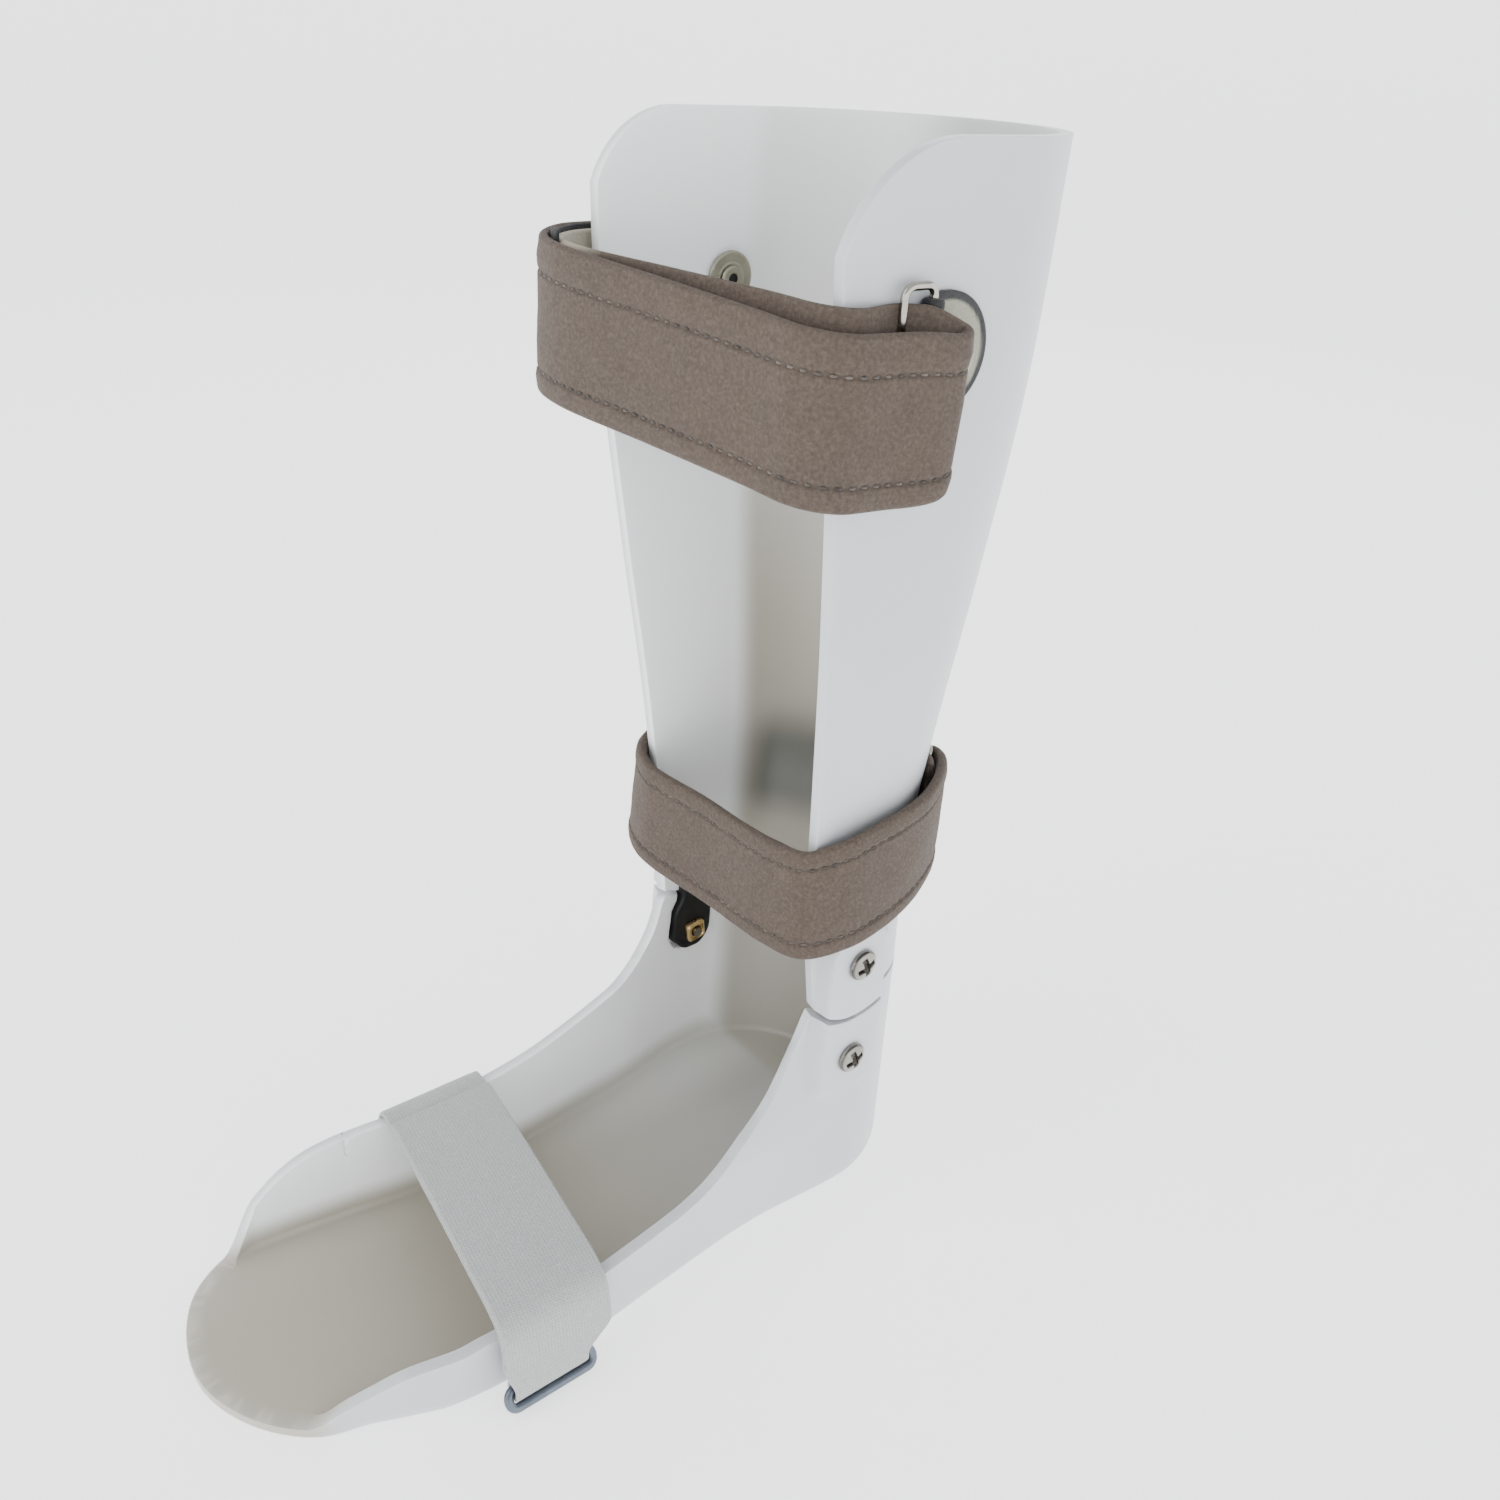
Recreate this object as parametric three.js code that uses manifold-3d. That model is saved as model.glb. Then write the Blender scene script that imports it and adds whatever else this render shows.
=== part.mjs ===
// Articulated ankle foot orthosis for a left leg: a polypropylene calf section hinged to a foot section by
// two flexure ankle joints, with a padded calf strap, a padded ankle strap and a webbing foot strap.
// Millimetres. +Z up, toes towards -Y, lateral side +X. The origin lies on the sole's underside, below the
// ankle axis.
import * as THREE from "three";
import { mergeVertices } from "three/addons/utils/BufferGeometryUtils.js";
import Module from "manifold-3d";

const wasm = await Module();
wasm.setup();

// Driving dimensions.
const HEIGHT = 366;
const WALL = 4;
const GAP = 0.3;
const ANKLE_Z = 84;
const KERF = 1.6;
const FRONT_WEDGE = 1.4;
const SOLE_RADIUS = 6;
const TOE_LIMIT = -240;
const TOE_PLATE = 4.2;
const CORNER_RADIUS = { medial: 32, lateral: 42 };
// Limits of the flat solids that trim one side of the orthosis: from inside its walls to beyond them.
const INSIDE = 30;
const BEYOND = 90;
// Two halves trimmed differently overlap by this much on the mid plane before they are joined.
const MID_LAP = 0.2;
// Each front edge's distance behind the stations' front, and how far it bows back between two heights.
const FRONT_EDGE = { medial: { setback: 0, bow: -1 }, lateral: { setback: 1.5, bow: 2 } };
const BOW = { middle: 195, reach: 90 };
// How the foot section differs from the calf section's foot end: its heel bulges, its walls lean out with
// height up to the flare's top, and its sides take over from the heel within the join's length.
const FOOT = { widen: 0.8, rearward: 4, lean: 0.04, flareTop: 34, join: 40 };
// The saw cut between the sections: it dips below each joint and steps up behind it.
const CUT = { rise: 0.6, dip: 3.2, dipMiddle: -0.5, dipHalf: 13.5, step: 2.4, stepFrom: 12.5, stepTo: 18 };
// Where the cut's upper side starts to open towards the front, and over what length.
const WEDGE = { from: -5, length: 11, most: 1.4 };

// Calf section: half width, front edge, rear edge, centre and half width at the front edge, by height.
const LEG_STATIONS = [
  { z: 60, half: 47.5, front: -12, back: 46, centre: 8, frontHalf: 44 },
  { z: 84, half: 47, front: -15.5, back: 46.5, centre: 9, frontHalf: 43.5 },
  { z: 128, half: 43.5, front: -20, back: 48.5, centre: 10.5, frontHalf: 42.5 },
  { z: 175, half: 45.5, front: -25.5, back: 54, centre: 13, frontHalf: 44.5 },
  { z: 232, half: 51, front: -33.5, back: 61, centre: 15.5, frontHalf: 49.5 },
  { z: 296, half: 56, front: -42, back: 68, centre: 17.5, frontHalf: 54.5 },
  { z: 366, half: 56, front: -48, back: 73.5, centre: 18, frontHalf: 54 },
  { z: 390, half: 55.5, front: -49, back: 75, centre: 18, frontHalf: 53.5 },
];
// Foot section: distance of each side wall from the mid plane, by distance along the foot.
const LATERAL_SIDE = [
  [-TOE_LIMIT, 38], [188, 42.5], [150, 50.3], [112, 52], [75, 48.8], [40, 46], [-9, 46],
];
const MEDIAL_SIDE = [
  [-TOE_LIMIT, 47], [188, 45.5], [152, 41.5], [118, 36.5], [85, 36.5], [45, 40.5], [-9, 46],
];
// Height of the foot section's trim line above the floor, by distance along the foot.
const LATERAL_TRIM = [
  [13, 90], [19, 72], [29, 54], [43, 42.5], [65, 31.5], [103, 28], [140, 25], [168, 20], [184, 11.5],
  [195, TOE_PLATE], [250, TOE_PLATE],
];
const MEDIAL_TRIM = [
  [13, 94], [17, 83], [22, 70], [38, 54], [67, 43], [98, 38.5], [136, 37], [163, 33], [180, 21],
  [192, TOE_PLATE], [250, TOE_PLATE],
];
// Plan outline of the toe plate, from the medial to the lateral side.
const TOE_OUTLINE = [
  [-50, -150], [-46.5, -178], [-41.5, -195], [-33, -206], [-17, -213.5], [0, -214.5],
  [17, -208], [31, -196], [41, -178], [52, -150],
];

// Flexure ankle joint.
const JOINT = { width: 18, length: 58, thickness: 7.2, waist: 11, outerX: 46.7, screwSpan: 19.7 };
const BLISTER = { halfWidth: 14.2, bottom: 48, top: 117, rootX: 41.2, faceX: 50.6, radius: 8 };
const SCREW = { headRadius: 5.6, headHeight: 3, shaftRadius: 2, boreRadius: 2.3 };
const NUT = { side: 8, thickness: 2.6 };

// Straps.
const PAD = 3.2;
const CALF_STRAP = {
  height: 47, medialTop: 331, lateralTop: 320, halfSpan: 63, lining: 2.2, layerStep: 4.4, patch: 0.8,
  outerFrom: 0.03, innerTo: 0.885, innerHeightLess: 3, innerLateralTop: 326,
};
// The inner layer hangs slack behind the outer one on the way to its ring, by shares of the strap's length.
const SLACK = { depth: 1.3, from: 0.5, full: 0.73, until: 0.79, to: 0.87 };
const ANKLE_STRAP = { height: 40, topLean: 4 };
const FOOT_STRAP = {
  width: 38, endWidth: 26, thickness: 1.5, medialY: -116, lateralY: -124, layerStep: 1.9,
  upperFrom: 0.24, upperTo: 0.93, taperFrom: 15, taperTo: 7,
};
const HOOK_PATCH = { from: 0.24, to: 0.42, heightLess: 8 };
const TAB = 1.3;
const FOOT_TAB_THICKNESS = 0.9;
const CALF_TAB = { centreY: -6.5, centreZ: 311, radius: 17, frontY: -13.5 };
const ANKLE_TAB = { centreX: 10, halfWidth: 12, bottom: 127, top: 158, corner: 9 };
const FOOT_TAB = { halfWidth: 11, bottom: 9, top: 24, corner: 4 };

// Wire rings: size between the wire's centres, and the bar that each one turns on.
const WIRE = 1.2;
const FOOT_WIRE = 1.5;
const CALF_RING = { width: 11, height: 55, corner: 3, x: 58.8, y: -13.5, z: 302.5, turn: 0 };
const ANKLE_RING = { width: 10.5, height: 43, corner: 3, x: 22.1, y: 49.35, z: 142.5, turn: 57 };
const FOOT_LOOP = { width: 30, corner: 2.5 };
const SLEEVE = { radius: 2.1, clearance: 0.25, calfFrom: -10.5, calfTo: 19.5, ankleHalf: 12 };

// Hollow rivets: the middle of the outer flange's face, the way it faces, and the inner washer's depth.
const RIVET = { post: 2.5, hollow: 1.9, flange: 4.5, outerFlange: 5, bore: 2.8, flangeThickness: 0.9 };
const WASHER = { radius: 9, thickness: 1.2, chamfer: 0.5, gap: 0.6 };
const RIVETS = {
  calfMedial: { at: [-61.7, 8, 313], facing: [-1, 0, 0], depth: 10 },
  calfLateral: { at: [59.2, 0, 309], facing: [1, 0, 0], depth: 7.8 },
  ankleMedial: { at: [-9.3, 55.8, 130.5], facing: [-0.16, 0.987, 0], depth: 13.9 },
  ankleRear: { at: [5.9, 53.8, 144.5], facing: [0.11, 0.994, 0], depth: 9.8 },
  footMedial: { at: [-43.9, FOOT_STRAP.medialY, 21], facing: [-1, 0, 0], depth: 11.8 },
  footLateral: { at: [55.3, FOOT_STRAP.lateralY, 17], facing: [1, 0, 0], depth: 8.2 },
};

// Middle lines, from the medial to the lateral side: the calf strap's in plan, the ankle strap's in space.
const CALF_PLAN = [
  [-63, 32], [-63.5, 14], [-64, -10], [-65, -32], [-63, -50], [-54, -62.5], [-40, -66.5], [0, -60],
  [36, -54], [53, -51.5], [61.5, -44], [63.8, -29], [63.6, -14], [63.6, -3],
];
const ANKLE_PATH = [
  [-2.5, 53.4, 129.5], [-10, 52.8, 129.8], [-18.5, 50.6, 130], [-27.5, 46.8, 130.5], [-36.8, 40.5, 131.5],
  [-44.8, 31.5, 133], [-50, 22, 134.5], [-52.9, 12, 136], [-53.5, 2, 137], [-53.3, -11, 136.5],
  [-48.4, -24.5, 133.5], [-36, -29.8, 130.5], [0, -27, 129.3], [32, -26.2, 130.5], [46, -23.4, 132.5],
  [52.5, -11, 135.5], [53, 2, 137.5], [51.6, 12, 139], [48, 24.4, 141], [43, 35.4, 143], [35.4, 44.6, 144.5],
];
// Foot strap in the (x, z) plane: up the medial wall, over the foot and down the lateral wall to its loop.
const FOOT_PATH = [
  [-42, 12], [-42, 24], [-41.8, 34], [-39.4, 39.4], [-33, 40.4], [0, 37.6], [30, 33.8], [47, 31.5],
  [53, 29.2], [56.1, 24.5], [57, 18], [56.4, 12.5], [55.4, 8.5],
];
const FOOT_BAR = { x: 58.3, y: -127.5, z: 8.5, drop: 4.5, reach: 3.1, foldRadius: 2.9 };

const COLOURS = {
  shell: 0xdfe2e6,
  pad: 0x8a8078,
  lining: 0xb5aea2,
  webbing: 0xc4c6c6,
  black: 0x17171a,
  nickel: 0xc9c6bd,
  brass: 0xc39a54,
  steel: 0x8c97a3,
  rubber: 0x1b1b1d,
};
const METALS = ["nickel", "brass", "steel"];

const root = new THREE.Group();

function material(kind) {
  const metal = METALS.includes(kind);
  return new THREE.MeshStandardMaterial({
    color: COLOURS[kind],
    roughness: metal ? 0.25 : kind === "shell" ? 0.42 : 0.9,
    metalness: metal ? 1 : 0,
  });
}

function addPart(name, geometry, kind) {
  const mesh = new THREE.Mesh(geometry, material(kind));
  mesh.name = name;
  root.add(mesh);
  return mesh;
}

// Manifold solids for cutting and joining.
function solidOf(geometry) {
  const bare = geometry.clone();
  bare.deleteAttribute("normal");
  bare.deleteAttribute("uv");
  const merged = mergeVertices(bare, 1e-4);
  return new wasm.Manifold(
    new wasm.Mesh({
      numProp: 3,
      vertProperties: merged.attributes.position.array,
      triVerts: new Uint32Array(merged.index.array),
    }),
  );
}

function geometryOf(solid) {
  const mesh = solid.getMesh();
  const geometry = new THREE.BufferGeometry();
  geometry.setAttribute("position", new THREE.BufferAttribute(mesh.vertProperties, 3));
  geometry.setIndex(new THREE.BufferAttribute(mesh.triVerts, 1));
  geometry.computeVertexNormals();
  return geometry;
}

// A smooth curve through stations [position, value, ...], read at one position.
function along(stations, position, field = 1) {
  const points = stations.map((s) => new THREE.Vector2(s[0], s[field]));
  points.sort((a, b) => a.x - b.x);
  const last = points.length - 1;
  const x = THREE.MathUtils.clamp(position, points[0].x, points[last].x);
  let i = 0;
  while (i < last - 1 && x > points[i + 1].x) i += 1;
  const at = (k) => points[THREE.MathUtils.clamp(k, 0, last)];
  const slope = (k) => (at(k + 1).y - at(k - 1).y) / Math.max(at(k + 1).x - at(k - 1).x, 1e-9);
  const span = at(i + 1).x - at(i).x;
  const t = (x - at(i).x) / span;
  const start = (2 * t ** 3 - 3 * t ** 2 + 1) * at(i).y + (t ** 3 - 2 * t ** 2 + t) * span * slope(i);
  const end = (3 * t ** 2 - 2 * t ** 3) * at(i + 1).y + (t ** 3 - t ** 2) * span * slope(i + 1);
  return start + end;
}

function legAt(z) {
  const keys = ["half", "front", "back", "centre", "frontHalf"];
  return Object.fromEntries(keys.map((key) => [key, along(LEG_STATIONS.map((s) => [s.z, s[key]]), z)]));
}

// Closed rings of points are joined into one solid, capped at both ends.
function loft(rings) {
  const count = rings[0].length;
  const positions = rings.flatMap((ring) => ring.flatMap((p) => [p.x, p.y, p.z]));
  const index = [];
  for (let r = 0; r + 1 < rings.length; r += 1) {
    for (let i = 0; i < count; i += 1) {
      const a = r * count + i;
      const b = r * count + ((i + 1) % count);
      index.push(a, b, b + count, a, b + count, a + count);
    }
  }
  const cap = (ring, offset, flip) => {
    const normal = ringNormal(ring);
    const side = new THREE.Vector3().subVectors(ring[1], ring[0]).normalize();
    const up = new THREE.Vector3().crossVectors(normal, side);
    const flat = ring.map((p) => new THREE.Vector2(p.dot(side), p.dot(up)));
    for (const [a, b, c] of THREE.ShapeUtils.triangulateShape(flat, [])) {
      index.push(...(flip ? [offset + a, offset + c, offset + b] : [offset + a, offset + b, offset + c]));
    }
  };
  cap(rings[0], 0, true);
  cap(rings[rings.length - 1], (rings.length - 1) * count, false);
  const geometry = new THREE.BufferGeometry();
  geometry.setAttribute("position", new THREE.Float32BufferAttribute(positions, 3));
  geometry.setIndex(index);
  geometry.computeVertexNormals();
  return geometry;
}

function ringNormal(ring) {
  const normal = new THREE.Vector3();
  ring.forEach((p, i) => {
    const q = ring[(i + 1) % ring.length];
    normal.x += (p.y - q.y) * (p.z + q.z);
    normal.y += (p.z - q.z) * (p.x + q.x);
    normal.z += (p.x - q.x) * (p.y + q.y);
  });
  return normal.normalize();
}

// The outline of a section, moved inwards by a distance along its own normals.
function inset(points, distance) {
  return points.map((p, i) => {
    const before = points[(i + points.length - 1) % points.length];
    const after = points[(i + 1) % points.length];
    const tangent = new THREE.Vector2(after.x - before.x, after.y - before.y).normalize();
    return new THREE.Vector2(p.x - tangent.y * distance, p.y + tangent.x * distance);
  });
}

const BACK_STEPS = 18;
const SIDE_STEPS = 10;

// One horizontal section, anticlockwise seen from above: rear half, medial side, lateral side.
function section(back, half, centre, medialSide, lateralSide, frontY) {
  const points = [];
  for (let i = 0; i <= BACK_STEPS; i += 1) {
    const angle = (Math.PI * i) / BACK_STEPS;
    points.push(new THREE.Vector2(half * Math.cos(angle), centre + (back - centre) * Math.sin(angle)));
  }
  for (let i = 1; i <= SIDE_STEPS; i += 1) {
    const y = centre + ((frontY - centre) * i) / SIDE_STEPS;
    points.push(new THREE.Vector2(-medialSide(y), y));
  }
  for (let i = SIDE_STEPS; i >= 1; i -= 1) {
    const y = centre + ((frontY - centre) * i) / SIDE_STEPS;
    points.push(new THREE.Vector2(lateralSide(y), y));
  }
  return points;
}

function legSide(leg, y) {
  const t = (leg.centre - y) / (leg.centre - leg.front);
  return leg.half - (leg.half - leg.frontHalf) * t * t;
}

function legSection(z) {
  const leg = legAt(z);
  const side = (y) => legSide(leg, y);
  return section(leg.back, leg.half, leg.centre, side, side, leg.front - 14);
}

function footSection(z) {
  const leg = legAt(ANKLE_Z);
  const low = THREE.MathUtils.clamp((ANKLE_Z - z) / ANKLE_Z, 0, 1);
  const blend = THREE.MathUtils.smoothstep(z, FOOT.flareTop, ANKLE_Z);
  const upper = z > ANKLE_Z ? legAt(z) : leg;
  const half = upper.half + FOOT.widen * low;
  const centre = upper.centre - FOOT.rearward * low;
  const back = upper.back + FOOT.rearward * low;
  const side = (stations) => (y) => {
    const join = THREE.MathUtils.smoothstep(centre - y, 0, FOOT.join);
    const flare = FOOT.lean * Math.min(z, FOOT.flareTop) * join;
    const foot = THREE.MathUtils.lerp(half, along(stations, -y), join) + flare;
    return THREE.MathUtils.lerp(foot, legSide(upper, Math.max(y, -FOOT.join)), blend);
  };
  return section(back, half, centre, side(MEDIAL_SIDE), side(LATERAL_SIDE), TOE_LIMIT);
}

function shellSolid(sectionAt, levels, floorRadius) {
  const ringsAt = (wall) =>
    levels(wall).map((z) => {
      const radius = Math.max(floorRadius - wall, 0);
      const rise = Math.min(Math.max(z - (floorRadius ? wall : 0), 0), radius);
      const round = floorRadius ? radius - Math.sqrt(Math.max(radius ** 2 - (radius - rise) ** 2, 0)) : 0;
      return inset(sectionAt(z), wall + round).map((p) => new THREE.Vector3(p.x, p.y, z));
    });
  return solidOf(loft(ringsAt(0))).subtract(solidOf(loft(ringsAt(WALL))));
}

// A flat outline in the (y, z) plane, extruded along X between two limits.
function sideProfile(points, fromX, toX) {
  const shape = new THREE.Shape(points.map(([y, z]) => new THREE.Vector2(y, z)));
  const geometry = new THREE.ExtrudeGeometry(shape, { depth: toX - fromX, bevelEnabled: false });
  const [x, y, z] = [new THREE.Vector3(1, 0, 0), new THREE.Vector3(0, 1, 0), new THREE.Vector3(0, 0, 1)];
  return geometry.applyMatrix4(new THREE.Matrix4().makeBasis(y, z, x)).translate(fromX, 0, 0);
}

function range(from, to, steps) {
  return Array.from({ length: steps + 1 }, (_, i) => from + ((to - from) * i) / steps);
}

function cutHeight(y) {
  const dip = Math.max(0, 1 - ((y - CUT.dipMiddle) / CUT.dipHalf) ** 2);
  const step = THREE.MathUtils.smoothstep(y, CUT.stepFrom, CUT.stepTo);
  return ANKLE_Z + CUT.rise - CUT.dip * dip + CUT.step * step;
}

function cutLine(offset, wedge) {
  const ys = [...range(-60, -14, 4), ...range(-13, 13, 12), ...range(14.5, 19, 3), BEYOND];
  const opening = (y) => wedge * THREE.MathUtils.clamp((WEDGE.from - y) / WEDGE.length, 0, WEDGE.most);
  return ys.map((y) => [y, cutHeight(y) + offset + opening(y)]);
}

// Rounded rectangle or capsule in the (y, z) plane.
function roundedOutline(halfWidth, bottom, top, radius, steps = 5) {
  const corners = [
    [halfWidth - radius, bottom + radius, -90],
    [halfWidth - radius, top - radius, 0],
    [radius - halfWidth, top - radius, 90],
    [radius - halfWidth, bottom + radius, 180],
  ];
  return corners.flatMap(([y, z, start]) =>
    range(0, 90, steps).map((step) => {
      const angle = THREE.MathUtils.degToRad(start + step);
      return [y + radius * Math.cos(angle), z + radius * Math.sin(angle)];
    }),
  );
}

// The flexure body's outline: two round pads joined by a narrower, flexible waist.
function flexureOutline(grow) {
  const half = JOINT.width / 2 + grow;
  const waist = JOINT.waist / 2 + grow;
  const end = JOINT.length / 2 + grow;
  const side = (z) => {
    const neck = THREE.MathUtils.smoothstep(Math.abs(z), 3, 11);
    return THREE.MathUtils.lerp(waist, half, neck);
  };
  const rightSide = range(-end + half, end - half, 14).map((z) => [side(z), ANKLE_Z + z]);
  const leftSide = range(end - half, -end + half, 14).map((z) => [-side(z), ANKLE_Z + z]);
  const cap = (centre, start) =>
    range(15, 165, 10).map((step) => {
      const angle = THREE.MathUtils.degToRad(start + step);
      return [half * Math.cos(angle), ANKLE_Z + centre + half * Math.sin(angle)];
    });
  return [...rightSide, ...cap(end - half, 0), ...leftSide, ...cap(half - end, 180)];
}

// A turned body on an axis parallel to X; radii and offsets run outwards from the mid plane.
function turned(profile, side, y, z, segments = 16) {
  const geometry = new THREE.LatheGeometry(profile.map(([r, x]) => new THREE.Vector2(r, x)), segments);
  geometry.rotateZ(-Math.PI / 2);
  if (side < 0) geometry.rotateZ(Math.PI);
  return geometry.translate(0, y, z);
}

function bore(radius, side, y, z, fromX, toX) {
  return solidOf(turned([[0, fromX], [radius, fromX], [radius, toX], [0, toX]], side, y, z, 16));
}

// Both shells with blisters, joint pockets and screw bores.
function buildShells() {
  const legLevels = () => [62, 75, ...range(90, 390, 10)];
  const footLevels = (wall) =>
    wall ? [4, 4.5, 5.8, 7.8, 10, 20, 34, 50, 66, 84, 104] : [0, 0.6, 2.6, 6, 10, 20, 34, 50, 66, 84, 104];
  const shells = {
    leg: shellSolid(legSection, legLevels, 0),
    foot: shellSolid(footSection, footLevels, SOLE_RADIUS),
  };
  for (const side of [1, -1]) {
    const face = (from, to) => (side > 0 ? [from, to] : [-to, -from]);
    const outer = roundedOutline(BLISTER.halfWidth, BLISTER.bottom, BLISTER.top, BLISTER.radius);
    const blister = solidOf(sideProfile(outer, ...face(BLISTER.rootX, BLISTER.faceX)));
    const pocket = solidOf(sideProfile(flexureOutline(GAP), ...face(INSIDE, JOINT.outerX + GAP)));
    for (const name of ["leg", "foot"]) {
      shells[name] = shells[name].add(blister).subtract(pocket);
      for (const z of screwHeights()) {
        shells[name] = shells[name].subtract(bore(SCREW.boreRadius, side, 0, z, INSIDE, BEYOND));
      }
    }
  }
  const half = (name, from, to) =>
    shells.leg.intersect(solidOf(sideProfile(legProfile(FRONT_EDGE[name], CORNER_RADIUS[name]), from, to)));
  shells.leg = half("medial", -BEYOND, MID_LAP).add(half("lateral", -MID_LAP, BEYOND));
  const trimmed = (trim, from, to) =>
    shells.foot.intersect(solidOf(sideProfile(footProfile(trim), from, to)));
  const medial = trimmed(MEDIAL_TRIM, -BEYOND, MID_LAP);
  const lateral = trimmed(LATERAL_TRIM, -MID_LAP, BEYOND);
  shells.foot = medial.add(lateral).intersect(solidOf(toePlan()));
  return shells;
}

function screwHeights() {
  return [ANKLE_Z - JOINT.screwSpan, ANKLE_Z + JOINT.screwSpan];
}

function legProfile({ setback, bow }, radius) {
  const frontAt = (z) => {
    const bowed = bow * Math.max(0, 1 - ((z - BOW.middle) / BOW.reach) ** 2);
    return legAt(z).front + setback * (1 + THREE.MathUtils.smoothstep(z, 250, HEIGHT)) + bowed;
  };
  const frontTop = frontAt(HEIGHT);
  const lower = cutLine(KERF / 2, FRONT_WEDGE).filter(([y]) => y > frontAt(ANKLE_Z));
  const front = range(ANKLE_Z + 3, HEIGHT - radius - 6, 10).map((z) => [frontAt(z), z]);
  const corner = range(0, 90, 8).map((degrees) => {
    const angle = THREE.MathUtils.degToRad(degrees);
    return [frontTop + radius * (1 - Math.cos(angle)), HEIGHT - radius + radius * Math.sin(angle)];
  });
  return [...lower, [BEYOND, HEIGHT], ...corner.slice(1).reverse(), ...front.reverse()];
}

function footProfile(trim) {
  const top = cutLine(-KERF / 2, 0).filter(([y]) => y > -13.5);
  const line = range(14.5, 250, 34).map((d) => [-d, Math.min(along(trim, d), cutHeight(-14) - KERF / 2)]);
  return [...line.reverse(), ...top, [BEYOND, -1], [-250, -1]];
}

function toePlan() {
  const curve = new THREE.CatmullRomCurve3(TOE_OUTLINE.map(([x, y]) => new THREE.Vector3(x, y, 0)));
  const front = curve.getPoints(24).map((p) => new THREE.Vector2(p.x, p.y));
  const corners = [[BEYOND, -140], [BEYOND, BEYOND], [-BEYOND, BEYOND], [-BEYOND, -140]];
  const shape = new THREE.Shape([...front, ...corners.map(([x, y]) => new THREE.Vector2(x, y))]);
  return new THREE.ExtrudeGeometry(shape, { depth: 130, bevelEnabled: false }).translate(0, 0, -2);
}

function buildJoints() {
  const [low, high] = screwHeights();
  const innerX = JOINT.outerX - JOINT.thickness;
  const sides = { lateral: 1, medial: -1 };
  for (const [name, side] of Object.entries(sides)) {
    const face = side > 0 ? [innerX, JOINT.outerX] : [-JOINT.outerX, -innerX];
    let flexure = solidOf(sideProfile(flexureOutline(0), ...face));
    for (const [place, z] of [["foot", low], ["calf", high]]) {
      flexure = flexure.subtract(bore(SCREW.boreRadius, side, 0, z, INSIDE, BEYOND));
      addPart(`${place}_screw_${name}`, screwGeometry(side, z, innerX), "nickel");
      addPart(`${place}_nut_${name}`, nutGeometry(side, z, innerX), "brass");
    }
    addPart(`flexure_joint_${name}`, geometryOf(flexure), "rubber");
  }
}

function screwGeometry(side, z, innerX) {
  const seat = BLISTER.faceX + GAP;
  const tip = innerX - GAP - NUT.thickness - 0.6;
  const dome = range(0, 90, 4).map((degrees) => {
    const angle = THREE.MathUtils.degToRad(degrees);
    return [SCREW.headRadius * Math.cos(angle), seat + 0.8 + (SCREW.headHeight - 0.8) * Math.sin(angle)];
  });
  dome[dome.length - 1][0] = 0;
  const { shaftRadius, headRadius } = SCREW;
  const profile = [[0, tip], [shaftRadius, tip], [shaftRadius, seat], [headRadius, seat], ...dome];
  let head = solidOf(turned(profile, side, 0, z));
  for (const turn of [0, 90]) {
    const slot = new THREE.BoxGeometry(2, 6.4, 1.2).rotateX(THREE.MathUtils.degToRad(turn + 20));
    head = head.subtract(solidOf(slot.translate(side * (seat + SCREW.headHeight), 0, z)));
  }
  return geometryOf(head);
}

function nutGeometry(side, z, innerX) {
  const centreX = innerX - GAP - NUT.thickness / 2;
  const block = new THREE.BoxGeometry(NUT.thickness, NUT.side, NUT.side);
  block.rotateX(THREE.MathUtils.degToRad(8)).translate(side * centreX, 0, z);
  return geometryOf(solidOf(block).subtract(bore(SCREW.boreRadius, side, 0, z, INSIDE, BEYOND)));
}

// A strap: a flat band with rounded edges that follows a path. Each station gives the middle of the band,
// its outward direction and its top and bottom points.
function band(stations, thickness) {
  const rings = stations.map(({ middle, outward, up, height }) => {
    const half = height / 2;
    const edge = thickness / 2;
    const outline = [
      [-edge, -half + edge * 0.7], [-edge * 0.5, -half], [edge * 0.5, -half], [edge, -half + edge * 0.7],
      [edge, half - edge * 0.7], [edge * 0.5, half], [-edge * 0.5, half], [-edge, half - edge * 0.7],
    ];
    return outline.map(([a, b]) =>
      middle.clone().addScaledVector(outward, a).addScaledVector(up, b),
    );
  });
  return loft(orient(rings));
}

// Rings must turn anticlockwise about the direction of travel.
function orient(rings) {
  const travel = rings[1][0].clone().sub(rings[0][0]);
  return ringNormal(rings[0]).dot(travel) > 0 ? rings : rings.map((ring) => [...ring].reverse());
}

// The middle line of a strap seen from above, with its outward direction at each step.
function planPath(points, steps, offsetAt = () => 0, from = 0, to = 1) {
  const curve = new THREE.CatmullRomCurve3(points.map(([x, y, z = 0]) => new THREE.Vector3(x, y, z)));
  return range(from, to, steps).map((t) => {
    const tangent = curve.getTangentAt(t);
    const outward = new THREE.Vector3(tangent.y, -tangent.x, 0).normalize();
    return { middle: curve.getPointAt(t).addScaledVector(outward, offsetAt(t)), outward };
  });
}

function calfCentreZ(x, lateralTop) {
  const { medialTop, halfSpan, height } = CALF_STRAP;
  const share = THREE.MathUtils.clamp((x + halfSpan) / (2 * halfSpan), 0, 1);
  return THREE.MathUtils.lerp(medialTop, lateralTop, share) - height / 2;
}

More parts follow.
